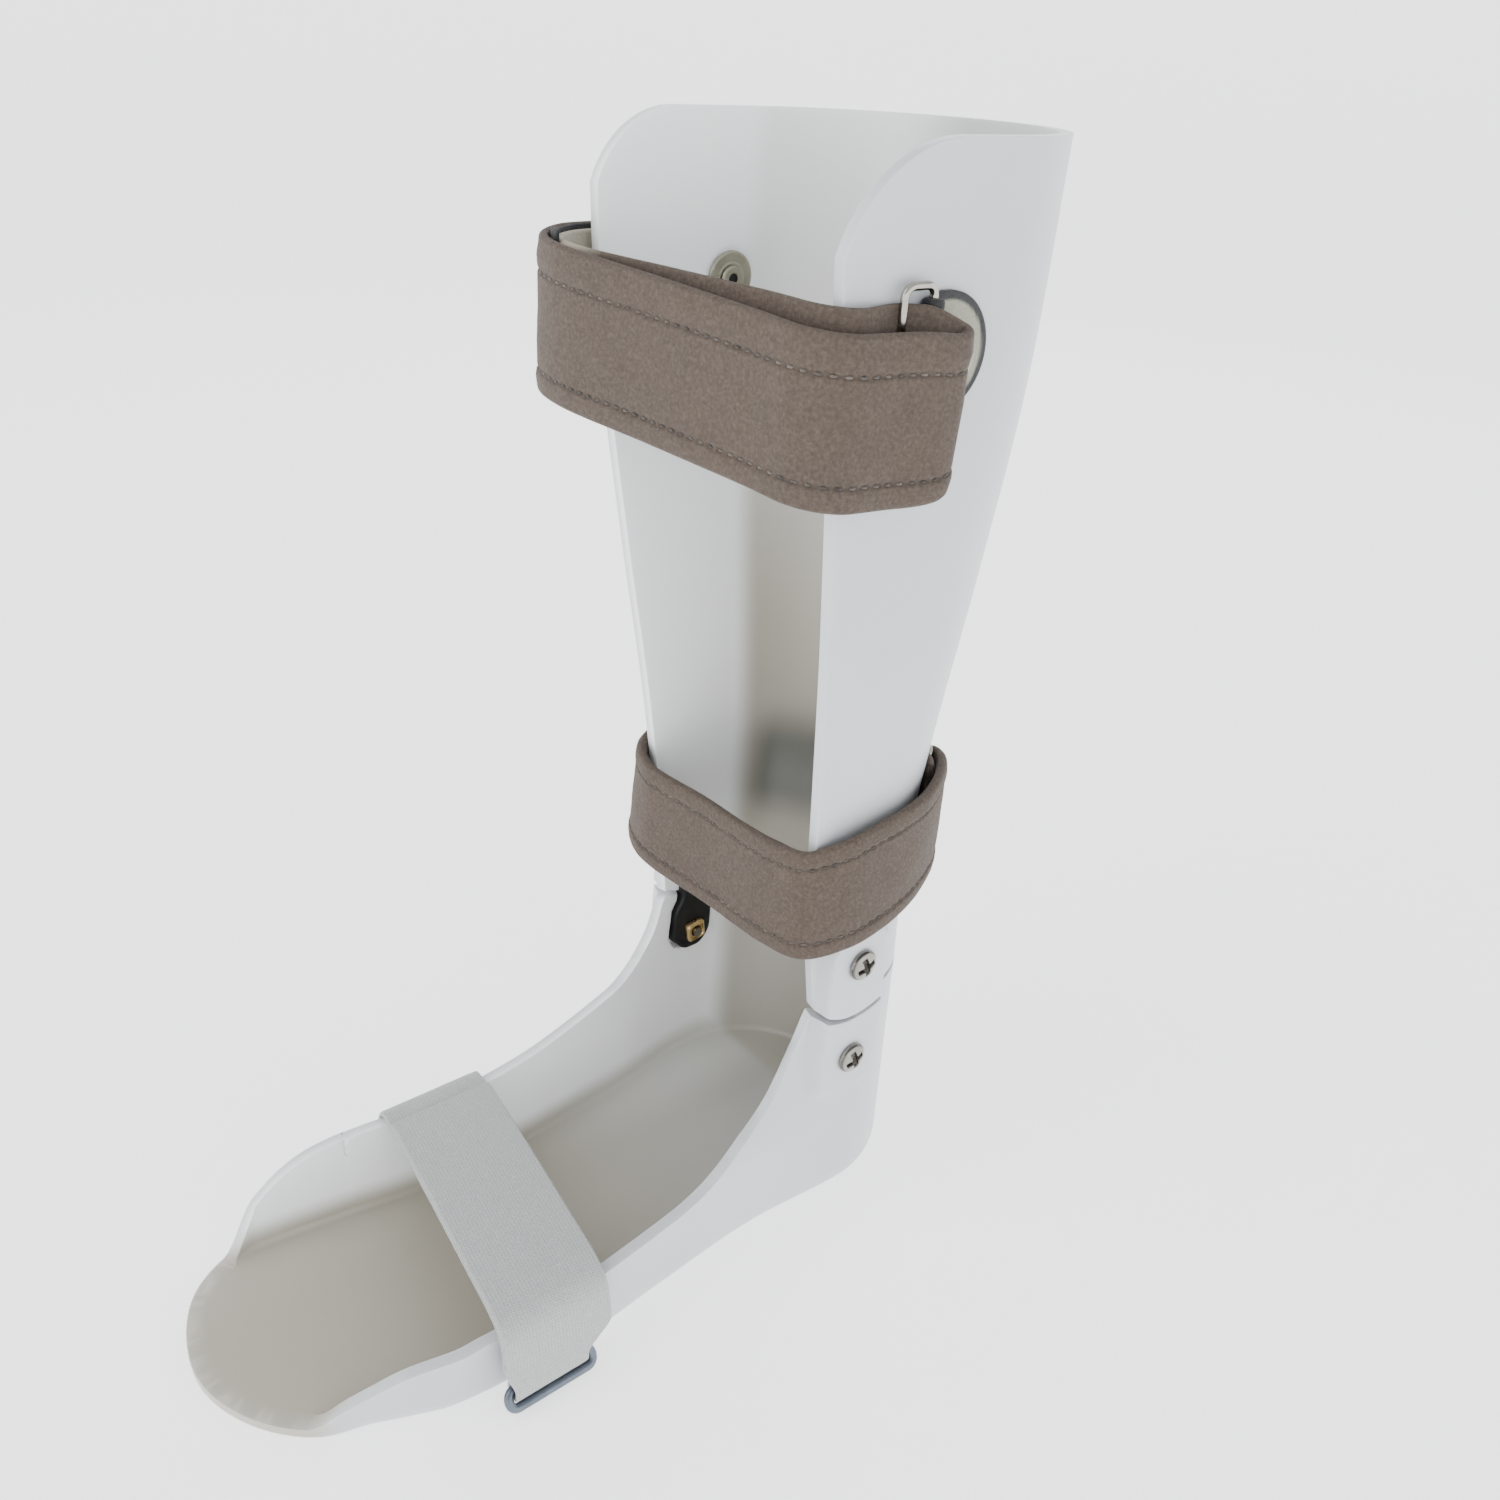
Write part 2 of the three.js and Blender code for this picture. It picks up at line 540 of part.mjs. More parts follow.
function calfBand(offsetAt, thickness, height, from, to, steps, lateralTop = CALF_STRAP.lateralTop) {
  const up = new THREE.Vector3(0, 0, 1);
  const stations = planPath(CALF_PLAN, steps, offsetAt, from, to).map(({ middle, outward }) => {
    middle.z = calfCentreZ(middle.x, lateralTop);
    return { middle, outward, up, height };
  });
  return band(stations, thickness);
}

// The ankle strap leans in towards the leg at its top edge, except behind the heel.
function ankleBand(from, to, steps) {
  const { height, topLean } = ANKLE_STRAP;
  const stations = planPath(ANKLE_PATH, steps, () => 0, from, to).map(({ middle, outward }) => {
    const lean = topLean * Math.abs(outward.x) * THREE.MathUtils.smoothstep(-middle.y, -28, 0);
    const up = new THREE.Vector3(0, 0, height).addScaledVector(outward, -lean).normalize();
    middle.addScaledVector(outward, -lean / 2);
    const travel = new THREE.Vector3(-outward.y, outward.x, 0);
    return { middle, outward: travel.cross(up), up, height };
  });
  return band(stations, PAD);
}

// A turned body on any axis: the profile's second value runs along the direction from the given point.
function turnedAt(profile, point, direction, segments = 14) {
  const geometry = new THREE.LatheGeometry(profile.map(([r, h]) => new THREE.Vector2(r, h)), segments);
  const upwards = new THREE.Vector3(0, 1, 0);
  const turn = new THREE.Quaternion().setFromUnitVectors(upwards, direction.clone().normalize());
  return geometry.applyQuaternion(turn).translate(point.x, point.y, point.z);
}

function rod(radius, point, direction, from, to, segments = 14) {
  return solidOf(turnedAt([[0, from], [radius, from], [radius, to], [0, to]], point, direction, segments));
}

// A hollow rivet with a flange at each end. Depths run inwards from the outermost flange's outer face.
function rivet({ at, facing, depth }) {
  const { post, hollow, flange, outerFlange, flangeThickness } = RIVET;
  const inner = -depth - WASHER.gap - flangeThickness;
  const profile = [
    [hollow, 0], [outerFlange, 0], [outerFlange, -flangeThickness], [post, -flangeThickness], [post, inner],
    [flange, inner], [flange - 0.6, inner - flangeThickness], [hollow, inner - flangeThickness], [hollow, 0],
  ];
  return turnedAt(profile.reverse(), new THREE.Vector3(...at), new THREE.Vector3(...facing));
}

function washer({ at, facing, depth }) {
  const { radius, thickness, chamfer } = WASHER;
  const inner = -depth - thickness;
  const profile = [
    [RIVET.bore, inner], [radius - chamfer, inner], [radius, inner + chamfer], [radius, -depth],
    [RIVET.bore, -depth], [RIVET.bore, inner],
  ];
  return turnedAt(profile, new THREE.Vector3(...at), new THREE.Vector3(...facing));
}

// The hole that a rivet needs through the shell, and through a strap or tab on it.
function rivetHole({ at, facing }, to = 6) {
  return rod(RIVET.bore, new THREE.Vector3(...at), new THREE.Vector3(...facing), -20, to);
}

function addRivet(place, spec) {
  addPart(place.replace("_", "_rivet_"), rivet(spec), "nickel");
  addPart(place.replace("_", "_washer_"), washer(spec), "nickel");
}

// A closed wire loop: a round section carried round a rounded rectangle.
function wireLoop(width, height, corner, wire, sides = 6) {
  const outline = roundedOutline(width / 2, -height / 2, height / 2, corner, 3);
  const count = outline.length;
  const positions = [];
  const index = [];
  outline.forEach(([u, v], i) => {
    const before = outline[(i + count - 1) % count];
    const after = outline[(i + 1) % count];
    const t = new THREE.Vector2(after[0] - before[0], after[1] - before[1]).normalize();
    for (let k = 0; k < sides; k += 1) {
      const angle = (2 * Math.PI * k) / sides;
      const out = wire * Math.cos(angle);
      positions.push(wire * Math.sin(angle), u + t.y * out, v - t.x * out);
      const a = i * sides + k;
      const b = i * sides + ((k + 1) % sides);
      const c = ((i + 1) % count) * sides + k;
      const d = ((i + 1) % count) * sides + ((k + 1) % sides);
      index.push(a, d, b, a, c, d);
    }
  });
  const geometry = new THREE.BufferGeometry();
  geometry.setAttribute("position", new THREE.Float32BufferAttribute(positions, 3));
  geometry.setIndex(index);
  return geometry;
}

// A thin layer that lies on the outside of a shell, from a gap above it to the tab's thickness.
function skinOver(sectionAt, levels, thickness) {
  const layer = (offset) =>
    solidOf(loft(levels.map((z) => inset(sectionAt(z), -offset).map((p) => new THREE.Vector3(p.x, p.y, z)))));
  return layer(GAP + thickness).subtract(layer(GAP));
}

// The upright bar of a ring, inside the sleeve of the tab that holds it.
function sleeved(tab, { x, y, z }, from, to) {
  const bar = new THREE.Vector3(x, y, z);
  const upwards = new THREE.Vector3(0, 0, 1);
  return tab
    .add(rod(SLEEVE.radius, bar, upwards, from, to))
    .subtract(rod(WIRE + SLEEVE.clearance, bar, upwards, -30, 30, 12));
}

// A ring that hangs ahead of its bar, turned about it.
function ring({ width, height, corner, x, y, z, turn }) {
  const wire = wireLoop(width, height, corner, WIRE).translate(0, -width / 2, 0);
  return wire.rotateZ(THREE.MathUtils.degToRad(turn)).translate(x, y, z);
}

function buildCalfStrap(shells) {
  const { height, lining, layerStep, patch, outerFrom } = CALF_STRAP;
  const { innerTo, innerHeightLess, innerLateralTop } = CALF_STRAP;
  const { smoothstep } = THREE.MathUtils;
  const slack = (t) => smoothstep(t, SLACK.from, SLACK.full) * (1 - smoothstep(t, SLACK.until, SLACK.to));
  const { from, to, heightLess } = HOOK_PATCH;
  const patchStep = (layerStep + PAD / 2 - lining / 2) / 2;
  addPart("calf_strap_outer", calfBand(() => 0, PAD, height, outerFrom, 1, 32), "pad");
  addPart("calf_hook_patch", calfBand(() => -patchStep, patch, height - heightLess, from, to, 10), "black");

  const medialHole = rivetHole(RIVETS.calfMedial);
  const innerAt = (t) => -layerStep - SLACK.depth * slack(t);
  const innerHeight = height - innerHeightLess;
  const inner = solidOf(calfBand(innerAt, lining, innerHeight, 0, innerTo, 30, innerLateralTop));
  addPart("calf_strap_inner", geometryOf(inner.subtract(medialHole)), "lining");
  addRivet("calf_medial", RIVETS.calfMedial);

  const lateralHole = rivetHole(RIVETS.calfLateral);
  addRivet("calf_lateral", RIVETS.calfLateral);
  shells.leg = shells.leg.subtract(medialHole).subtract(lateralHole);

  const { centreY, centreZ, radius, frontY } = CALF_TAB;
  const halfDisc = range(-90, 90, 10).map((step) => {
    const angle = THREE.MathUtils.degToRad(step);
    return [centreY + radius * Math.cos(angle), centreZ + radius * Math.sin(angle)];
  });
  const shape = [...halfDisc, [frontY, centreZ + radius], [frontY, centreZ - radius]];
  const skin = skinOver(legSection, range(280, 340, 6), TAB);
  const plate = skin.intersect(solidOf(sideProfile(shape, INSIDE, BEYOND)));
  const tab = sleeved(plate, CALF_RING, SLEEVE.calfFrom, SLEEVE.calfTo).subtract(lateralHole);
  addPart("calf_tab", geometryOf(tab), "black");
  addPart("calf_ring", ring(CALF_RING), "nickel");
}

function buildAnkleStrap(shells) {
  const medialHole = rivetHole(RIVETS.ankleMedial);
  const strap = solidOf(ankleBand(0, 1, 38)).subtract(medialHole);
  addPart("ankle_strap", geometryOf(strap), "pad");
  addRivet("ankle_medial", RIVETS.ankleMedial);

  const rearHole = rivetHole(RIVETS.ankleRear);
  addRivet("ankle_rear", RIVETS.ankleRear);
  shells.leg = shells.leg.subtract(medialHole).subtract(rearHole);

  const { centreX, halfWidth, bottom, top, corner } = ANKLE_TAB;
  const outline = roundedOutline(halfWidth, bottom, top, corner).map(([x, z]) => [x + centreX, z]);
  const skin = skinOver(legSection, range(119, 167, 6), TAB);
  const plate = skin.intersect(solidOf(rearProfile(outline, INSIDE, BEYOND)));
  const tab = sleeved(plate, ANKLE_RING, -SLEEVE.ankleHalf, SLEEVE.ankleHalf).subtract(rearHole);
  addPart("ankle_tab", geometryOf(tab), "black");
  addPart("ankle_ring", ring(ANKLE_RING), "nickel");
}

// A flat outline in the (x, z) plane, extruded along Y between two limits.
function rearProfile(points, fromY, toY) {
  const shape = new THREE.Shape(points.map(([x, z]) => new THREE.Vector2(x, z)));
  const geometry = new THREE.ExtrudeGeometry(shape, { depth: toY - fromY, bevelEnabled: false });
  return geometry.rotateX(Math.PI / 2).translate(0, toY, 0);
}

// One layer of the foot strap, a distance outside its path, between two shares of the path's length.
function footBand(offset, from, to, steps, fold = []) {
  const curve = new THREE.CatmullRomCurve3(FOOT_PATH.map(([x, z]) => new THREE.Vector3(x, 0, z)));
  const line = range(from, to, steps).map((t) => {
    const tangent = curve.getTangentAt(t);
    const outward = new THREE.Vector3(-tangent.z, 0, tangent.x);
    return { middle: curve.getPointAt(t).addScaledVector(outward, offset), outward };
  });
  const span = FOOT_BAR.x - FOOT_PATH[0][0];
  const { taperFrom, taperTo } = FOOT_STRAP;
  const stations = [...line, ...fold].map(({ middle, outward }) => {
    const share = (middle.x - FOOT_PATH[0][0]) / span;
    const point = middle.clone();
    const taper = middle.x > 0 ? 1 - THREE.MathUtils.smoothstep(middle.z, taperTo, taperFrom) : 0;
    point.y = THREE.MathUtils.lerp(FOOT_STRAP.medialY, FOOT_STRAP.lateralY, share);
    point.y += taper * (FOOT_BAR.y - FOOT_STRAP.lateralY);
    const height = THREE.MathUtils.lerp(FOOT_STRAP.width, FOOT_STRAP.endWidth, taper);
    return { middle: point, outward, up: new THREE.Vector3(0, 1, 0), height };
  });
  return band(stations, FOOT_STRAP.thickness);
}

// The strap's turn round the loop's upper bar.
function footFold() {
  return range(15, 180, 9).map((degrees) => {
    const angle = THREE.MathUtils.degToRad(180 + degrees);
    const inward = new THREE.Vector3(Math.cos(angle), 0, Math.sin(angle));
    const middle = new THREE.Vector3(FOOT_BAR.x, 0, FOOT_BAR.z).addScaledVector(inward, FOOT_BAR.foldRadius);
    return { middle, outward: inward.negate() };
  });
}

function buildFootStrap(shells) {
  const { layerStep, upperFrom, upperTo } = FOOT_STRAP;
  const medialHole = rivetHole(RIVETS.footMedial);
  const lower = solidOf(footBand(0, 0, 1, 26, footFold())).subtract(medialHole);
  addPart("foot_strap_lower", geometryOf(lower), "webbing");
  addPart("foot_strap_upper", footBand(layerStep, upperFrom, upperTo, 22), "webbing");
  addRivet("foot_medial", RIVETS.footMedial);

  const lateralHole = rivetHole(RIVETS.footLateral, 3);
  addRivet("foot_lateral", RIVETS.footLateral);
  shells.foot = shells.foot.subtract(medialHole).subtract(lateralHole);

  const { halfWidth, bottom, top, corner } = FOOT_TAB;
  const centreY = FOOT_STRAP.lateralY;
  const outline = roundedOutline(halfWidth, bottom, top, corner).map(([y, z]) => [y + centreY, z]);
  const tab = skinOver(footSection, [8, 10, 15, 20, 25, 30], FOOT_TAB_THICKNESS)
    .intersect(solidOf(sideProfile(outline, INSIDE, BEYOND)))
    .subtract(lateralHole);
  addPart("foot_tab", geometryOf(tab), "webbing");

  const { x, y, z, drop, reach } = FOOT_BAR;
  const depth = Math.hypot(drop, reach);
  const loop = wireLoop(FOOT_LOOP.width, depth, FOOT_LOOP.corner, FOOT_WIRE).translate(0, 0, -depth / 2);
  addPart("foot_loop", loop.rotateY(-Math.atan2(reach, drop)).translate(x, y, z), "steel");
}

function build() {
  const shells = buildShells();
  buildJoints();
  buildCalfStrap(shells);
  buildAnkleStrap(shells);
  buildFootStrap(shells);
  addPart("calf_shell", geometryOf(shells.leg), "shell");
  addPart("foot_shell", geometryOf(shells.foot), "shell");
}

build();

export default root;
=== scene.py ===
"""Looks for the ankle foot orthosis: smooth moulded shells, padded and stitched straps, webbing, fasteners.

Lengths in this file are millimetres in the row frame, and become metres when a mesh is made.
"""
import math

import bmesh
import bpy
import numpy as np
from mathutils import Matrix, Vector


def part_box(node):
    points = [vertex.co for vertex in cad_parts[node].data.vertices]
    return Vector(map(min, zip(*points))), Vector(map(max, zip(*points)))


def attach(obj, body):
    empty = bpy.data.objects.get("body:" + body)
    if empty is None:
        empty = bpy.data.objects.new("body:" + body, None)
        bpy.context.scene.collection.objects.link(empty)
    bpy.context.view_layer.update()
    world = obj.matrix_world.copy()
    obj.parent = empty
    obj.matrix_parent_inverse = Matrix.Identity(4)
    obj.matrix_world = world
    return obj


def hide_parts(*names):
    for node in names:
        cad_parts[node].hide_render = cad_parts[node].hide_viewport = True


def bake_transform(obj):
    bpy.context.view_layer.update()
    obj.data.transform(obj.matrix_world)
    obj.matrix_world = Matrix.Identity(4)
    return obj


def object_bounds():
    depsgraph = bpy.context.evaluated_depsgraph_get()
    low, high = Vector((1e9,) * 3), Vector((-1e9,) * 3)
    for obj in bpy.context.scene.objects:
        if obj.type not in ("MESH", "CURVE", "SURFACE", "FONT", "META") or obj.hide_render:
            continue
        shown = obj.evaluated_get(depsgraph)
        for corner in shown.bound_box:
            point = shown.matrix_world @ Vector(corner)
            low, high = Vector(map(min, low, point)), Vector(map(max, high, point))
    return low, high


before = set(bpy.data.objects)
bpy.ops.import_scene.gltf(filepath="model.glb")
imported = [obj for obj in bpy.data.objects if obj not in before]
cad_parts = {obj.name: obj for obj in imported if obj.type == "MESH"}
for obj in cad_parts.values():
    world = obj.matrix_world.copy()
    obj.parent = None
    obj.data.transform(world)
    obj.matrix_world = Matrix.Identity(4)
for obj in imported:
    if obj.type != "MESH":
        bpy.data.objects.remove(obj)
CAD_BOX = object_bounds()
MM = 0.001


# ---------------------------------------------------------------- dimensions shared with the CAD model
# In every table by side, -1 is the medial side and 1 the lateral side.
HEIGHT = (np.array(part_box("calf_shell")[1]) / MM)[2]
WALL = 4.0
ANKLE_Z = 84.0
KERF = 1.6
WEDGE = 1.4
SOLE_RADIUS = 6.0
CORNER_RADIUS = {-1: 32.0, 1: 42.0}
SETBACK, BOW = {-1: 0.0, 1: 1.5}, {-1: -1.0, 1: 2.0}
# The leg's outline by height: half width, front edge, back, place of the widest point, half width in front.
LEG = {
    "z": [60, 84, 128, 175, 232, 296, 366, 390],
    "half": [47.5, 47, 43.5, 45.5, 51, 56, 56, 55.5],
    "front": [-12, -15.5, -20, -25.5, -33.5, -42, -48, -49],
    "back": [46, 46.5, 48.5, 54, 61, 68, 73.5, 75],
    "centre": [8, 9, 10.5, 13, 15.5, 17.5, 18, 18],
    "front_half": [44, 43.5, 42.5, 44.5, 49.5, 54.5, 54, 53.5],
}
# The foot section's half width and trim height, by distance ahead of the ankle, and its toe in plan.
SIDE = {
    1: [(-9, 46), (40, 46), (75, 48.8), (112, 52), (150, 50.3), (188, 42.5), (240, 38)],
    -1: [(-9, 46), (45, 40.5), (85, 36.5), (118, 36.5), (152, 41.5), (188, 45.5), (240, 47)],
}
TRIM = {
    1: [(13, 90), (19, 72), (29, 54), (43, 42.5), (65, 31.5), (103, 28), (140, 25), (168, 20), (184, 11.5),
        (195, 4), (250, 4)],
    -1: [(13, 94), (17, 83), (22, 70), (38, 54), (67, 43), (98, 38.5), (136, 37), (163, 33), (180, 21),
         (192, 4), (250, 4)],
}
TOE = [(-50, -150), (-46.5, -178), (-41.5, -195), (-33, -206), (-17, -213.5), (0, -214.5), (17, -208),
       (31, -196), (41, -178), (52, -150)]
BLISTER = {"half": 14.2, "low": 48.0, "high": 117.0, "face": 50.6, "radius": 8.0}
JOINT = {"width": 18.0, "length": 58.0, "thickness": 7.2, "waist": 11.0, "outer": 46.7, "screw": 19.7}
SCREW_SEAT, HEAD_RADIUS, NUT_FACE = 50.9, 5.6, 39.2
PAD = 3.2
CALF_HEIGHT, CALF_GROOVES = 47.0, (12.8, -16.2)
CALF_TOP = {"medial": 331.0, "lateral": 320.0, "lateral_inner": 327.0}
ANKLE_HEIGHT, ANKLE_GROOVES = 40.0, (13.8, -13.8)
GROOVE_DEPTH, STITCH_DEPTH, STITCH_PITCH = 0.85, 0.62, 3.7
CALF_PLAN = [(-63, 32), (-63.5, 14), (-64, -10), (-65, -32), (-63, -50), (-54, -62.5), (-40, -66.5), (0, -60),
             (36, -54), (53, -51.5), (61.5, -44), (63.8, -29), (63.6, -14), (63.6, -3)]
ANKLE_PATH = [
    (-2.5, 53.4, 129.5), (-10, 52.8, 129.8), (-18.5, 50.6, 130), (-27.5, 46.8, 130.5), (-36.8, 40.5, 131.5),
    (-44.8, 31.5, 133), (-50, 22, 134.5), (-52.9, 12, 136), (-53.5, 2, 137), (-53.3, -11, 136.5),
    (-48.4, -24.5, 133.5), (-36, -29.8, 130.5), (0, -27, 129.3), (32, -26.2, 130.5), (46, -23.4, 132.5),
    (52.5, -11, 135.5), (53, 2, 137.5), (51.6, 12, 139), (48, 24.4, 141), (43, 35.4, 143)]
FOOT_PATH = [(-42, 12), (-42, 24), (-41.8, 34), (-39.4, 39.4), (-33, 40.4), (0, 37.6), (30, 33.8), (47, 31.5),
             (53, 29.2), (56.1, 24.5), (57, 18), (56.4, 12.5), (55.4, 8.5)]
FOOT_BAR = np.array([58.3, -127.5, 8.5])
CALF_BAR = np.array([58.8, -13.5, 302.5])
ANKLE_BAR = np.array([22.1, 49.35, 142.5])
TAB_CENTRE, TAB_REACH = np.array([-6.5, 311.0]), 17.0
TAB_LIFT = 0.3
FIXINGS = (
    ("calf_{}_medial", (-61.7, 8, 313), (-1, 0, 0), 10, "calf_section"),
    ("calf_{}_lateral", (59.2, 0, 309), (1, 0, 0), 7.8, "calf_section"),
    ("ankle_{}_medial", (-9.3, 55.8, 130.5), (-0.16, 0.987, 0), 13.9, "calf_section"),
    ("ankle_{}_rear", (5.9, 53.8, 144.5), (0.11, 0.994, 0), 9.8, "calf_section"),
    ("foot_{}_medial", (-43.9, -116, 21), (-1, 0, 0), 11.8, "foot_section"),
    ("foot_{}_lateral", (55.3, -124, 17), (1, 0, 0), 8.2, "foot_section"),
)
CAMERA = {"azimuth": 51.13, "elevation": 24.45, "roll": 3.32, "place": (307.88, -287.69, 385.68),
          "focal": 1373.61, "centre": (693.27, 659.75)}
PICTURE = 1500.0
SKY, FLOOR_GLOW = 1.12, 1.25
# radius and height of the floor's rings, in metres
STUDIO_BOWL = ((0.02, 0), (0.5, 0), (2, 0), (5, 0), (7, 0.12), (9, 0.5), (11, 1.3), (12.5, 2.6), (13, 4),
               (13.2, 6.4))


# ---------------------------------------------------------------- curves
def smoothstep(x, low, high):
    t = np.clip((np.asarray(x, float) - low) / (high - low), 0, 1)
    return t * t * (3 - 2 * t)


def along(stations, x):
    """A smooth curve through (position, value) stations, read at positions x."""
    px, py = np.array(sorted(stations), float).T
    before, after = np.r_[0, 0:len(px) - 1], np.r_[1:len(px), len(px) - 1]
    slope = (py[after] - py[before]) / (px[after] - px[before])
    x = np.clip(np.asarray(x, float), px[0], px[-1])
    i = np.clip(np.searchsorted(px, x, side="left") - 1, 0, len(px) - 2)
    span = px[i + 1] - px[i]
    t = (x - px[i]) / span
    return ((2 * t**3 - 3 * t**2 + 1) * py[i] + (t**3 - 2 * t**2 + t) * span * slope[i]
            + (3 * t**2 - 2 * t**3) * py[i + 1] + (t**3 - t**2) * span * slope[i + 1])


def spline(points, step):
    """A centripetal curve through points, resampled at even steps."""
    p = np.array(points, float)
    p = np.vstack([2 * p[0] - p[1], p, 2 * p[-1] - p[-2]])
    fine = []
    for i in range(1, len(p) - 2):
        chords = [max(np.linalg.norm(p[i + k] - p[i + k - 1]), 1e-6) ** 0.5 for k in (0, 1, 2)]
        knots = np.r_[0, np.cumsum(chords)]
        t = np.linspace(knots[1], knots[2], 24, endpoint=i == len(p) - 3)[:, None]
        level = [p[i - 1 + k] for k in range(4)]
        for depth in (1, 2, 3):
            spans = [(k, k + depth) if depth < 3 else (1, 2) for k in range(4 - depth)]
            level = [((knots[b] - t) * level[k] + (t - knots[a]) * level[k + 1]) / (knots[b] - knots[a])
                     for k, (a, b) in enumerate(spans)]
        fine.append(level[0])
    return resample(np.vstack(fine), step)


def resample(line, step):
    length = travelled(line)
    count = max(int(round(length[-1] / step)), 4)
    return np.stack([np.interp(np.linspace(0, length[-1], count + 1), length, line[:, k])
                     for k in range(line.shape[1])], axis=1)


def travelled(line):
    """Distance along a line of points, at each of them."""
    return np.r_[0, np.cumsum(np.linalg.norm(np.diff(line, axis=0), axis=1))]


def circle(count):
    return np.linspace(0, 2 * math.pi, count, endpoint=False)


def eased(count):
    """Values from -1 to 1 that lie closer together towards both ends."""
    return np.sin(np.linspace(-math.pi / 2, math.pi / 2, count))


def unit(v):
    return v / np.maximum(np.linalg.norm(v, axis=-1, keepdims=True), 1e-9)


def ripple(points, size, seed=0):
    """Smooth repeatable unevenness, about -1 to 1, that varies over a distance."""
    p = np.asarray(points, float) / size + seed * 7.31
    total = np.zeros(len(p))
    turns = (1, 0.31, 0.17), (-0.42, 1.13, 0.53), (0.63, -0.57, 1.27), (1.41, 0.83, -0.71)
    for k, turn in enumerate(turns):
        total += np.sin(p @ np.array(turn[:p.shape[1]]) * (1 + 0.37 * k) * 2.1 + 1.7 * k)
    return total / 4


# ---------------------------------------------------------------- meshes
def make(name, points, faces, material, body=None, uv=None, angle=None, weld=1e-5, **shades):
    """A smooth shaded piece from points in millimetres; shades are values at its points for its material."""
    mesh = bpy.data.meshes.new(name)
    mesh.from_pydata((np.asarray(points, float) * MM).tolist(), [], [list(f) for f in faces])
    for key, values in shades.items():
        if values is not None:
            layer = mesh.attributes.new(key, "FLOAT", "POINT")
            layer.data.foreach_set("value", np.asarray(values, np.float32))
    if uv is not None:
        layer = mesh.uv_layers.new(name="strap")
        corners = np.zeros(len(mesh.loops), np.int32)
        mesh.loops.foreach_get("vertex_index", corners)
        layer.data.foreach_set("uv", np.asarray(uv, np.float32)[corners].ravel())
    shape = bmesh.new()
    shape.from_mesh(mesh)
    if weld:
        bmesh.ops.remove_doubles(shape, verts=shape.verts, dist=weld)
        bmesh.ops.dissolve_degenerate(shape, edges=shape.edges, dist=weld)
    bmesh.ops.recalc_face_normals(shape, faces=shape.faces)
    for face in shape.faces:
        face.smooth = True
    if angle:
        for edge in shape.edges:
            if len(edge.link_faces) == 2 and edge.calc_face_angle() > math.radians(angle):
                edge.smooth = False
    shape.to_mesh(mesh)
    shape.free()
    piece = bpy.data.objects.new(name, mesh)
    bpy.context.scene.collection.objects.link(piece)
    mesh.materials.append(material)
    if body:
        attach(piece, body)
    return piece


def stand_in(piece, slot, *nodes):
    """Hides the CAD nodes that a piece stands for; piece and slot, the finish it takes, are not used."""
    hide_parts(*nodes)


def grid_faces(rows, columns):
    """Quads between rows of points, each of which closes on itself."""
    faces = []
    for row in range(0, (rows - 1) * columns, columns):
        for c in range(columns):
            a, b = row + c, row + (c + 1) % columns
            faces.append((a, b, b + columns, a + columns))
    return faces


def swept(rings, closed=False):
    """Points and faces of rings joined along a path that is capped at both ends, or closed on itself."""
    rings = np.asarray(rings, float)
    count, sides = rings.shape[:2]
    last = (count - 1) * sides
    faces = grid_faces(count, sides)
    if closed:
        faces += [(last + k, last + (k + 1) % sides, (k + 1) % sides, k) for k in range(sides)]
    else:
        faces += [tuple(range(sides))[::-1], tuple(range(last, count * sides))]
    return rings.reshape(-1, 3), faces


def skin_faces(rows, columns):
    """Faces of a thin wall whose rows each run along its outside and back along its inside."""
    faces = grid_faces(rows, columns)
    for row in (0, (rows - 1) * columns):
        for c in range(columns // 2 - 1):
            faces.append((row + c, row + c + 1, row + columns - 2 - c, row + columns - 1 - c))
    return faces


def bevel(piece, width, angle=40):
    modifier = piece.modifiers.new("rounded_edges", "BEVEL")
    modifier.width, modifier.segments = width * MM, 3
    modifier.limit_method, modifier.angle_limit = "ANGLE", math.radians(angle)
    modifier.use_clamp_overlap = True


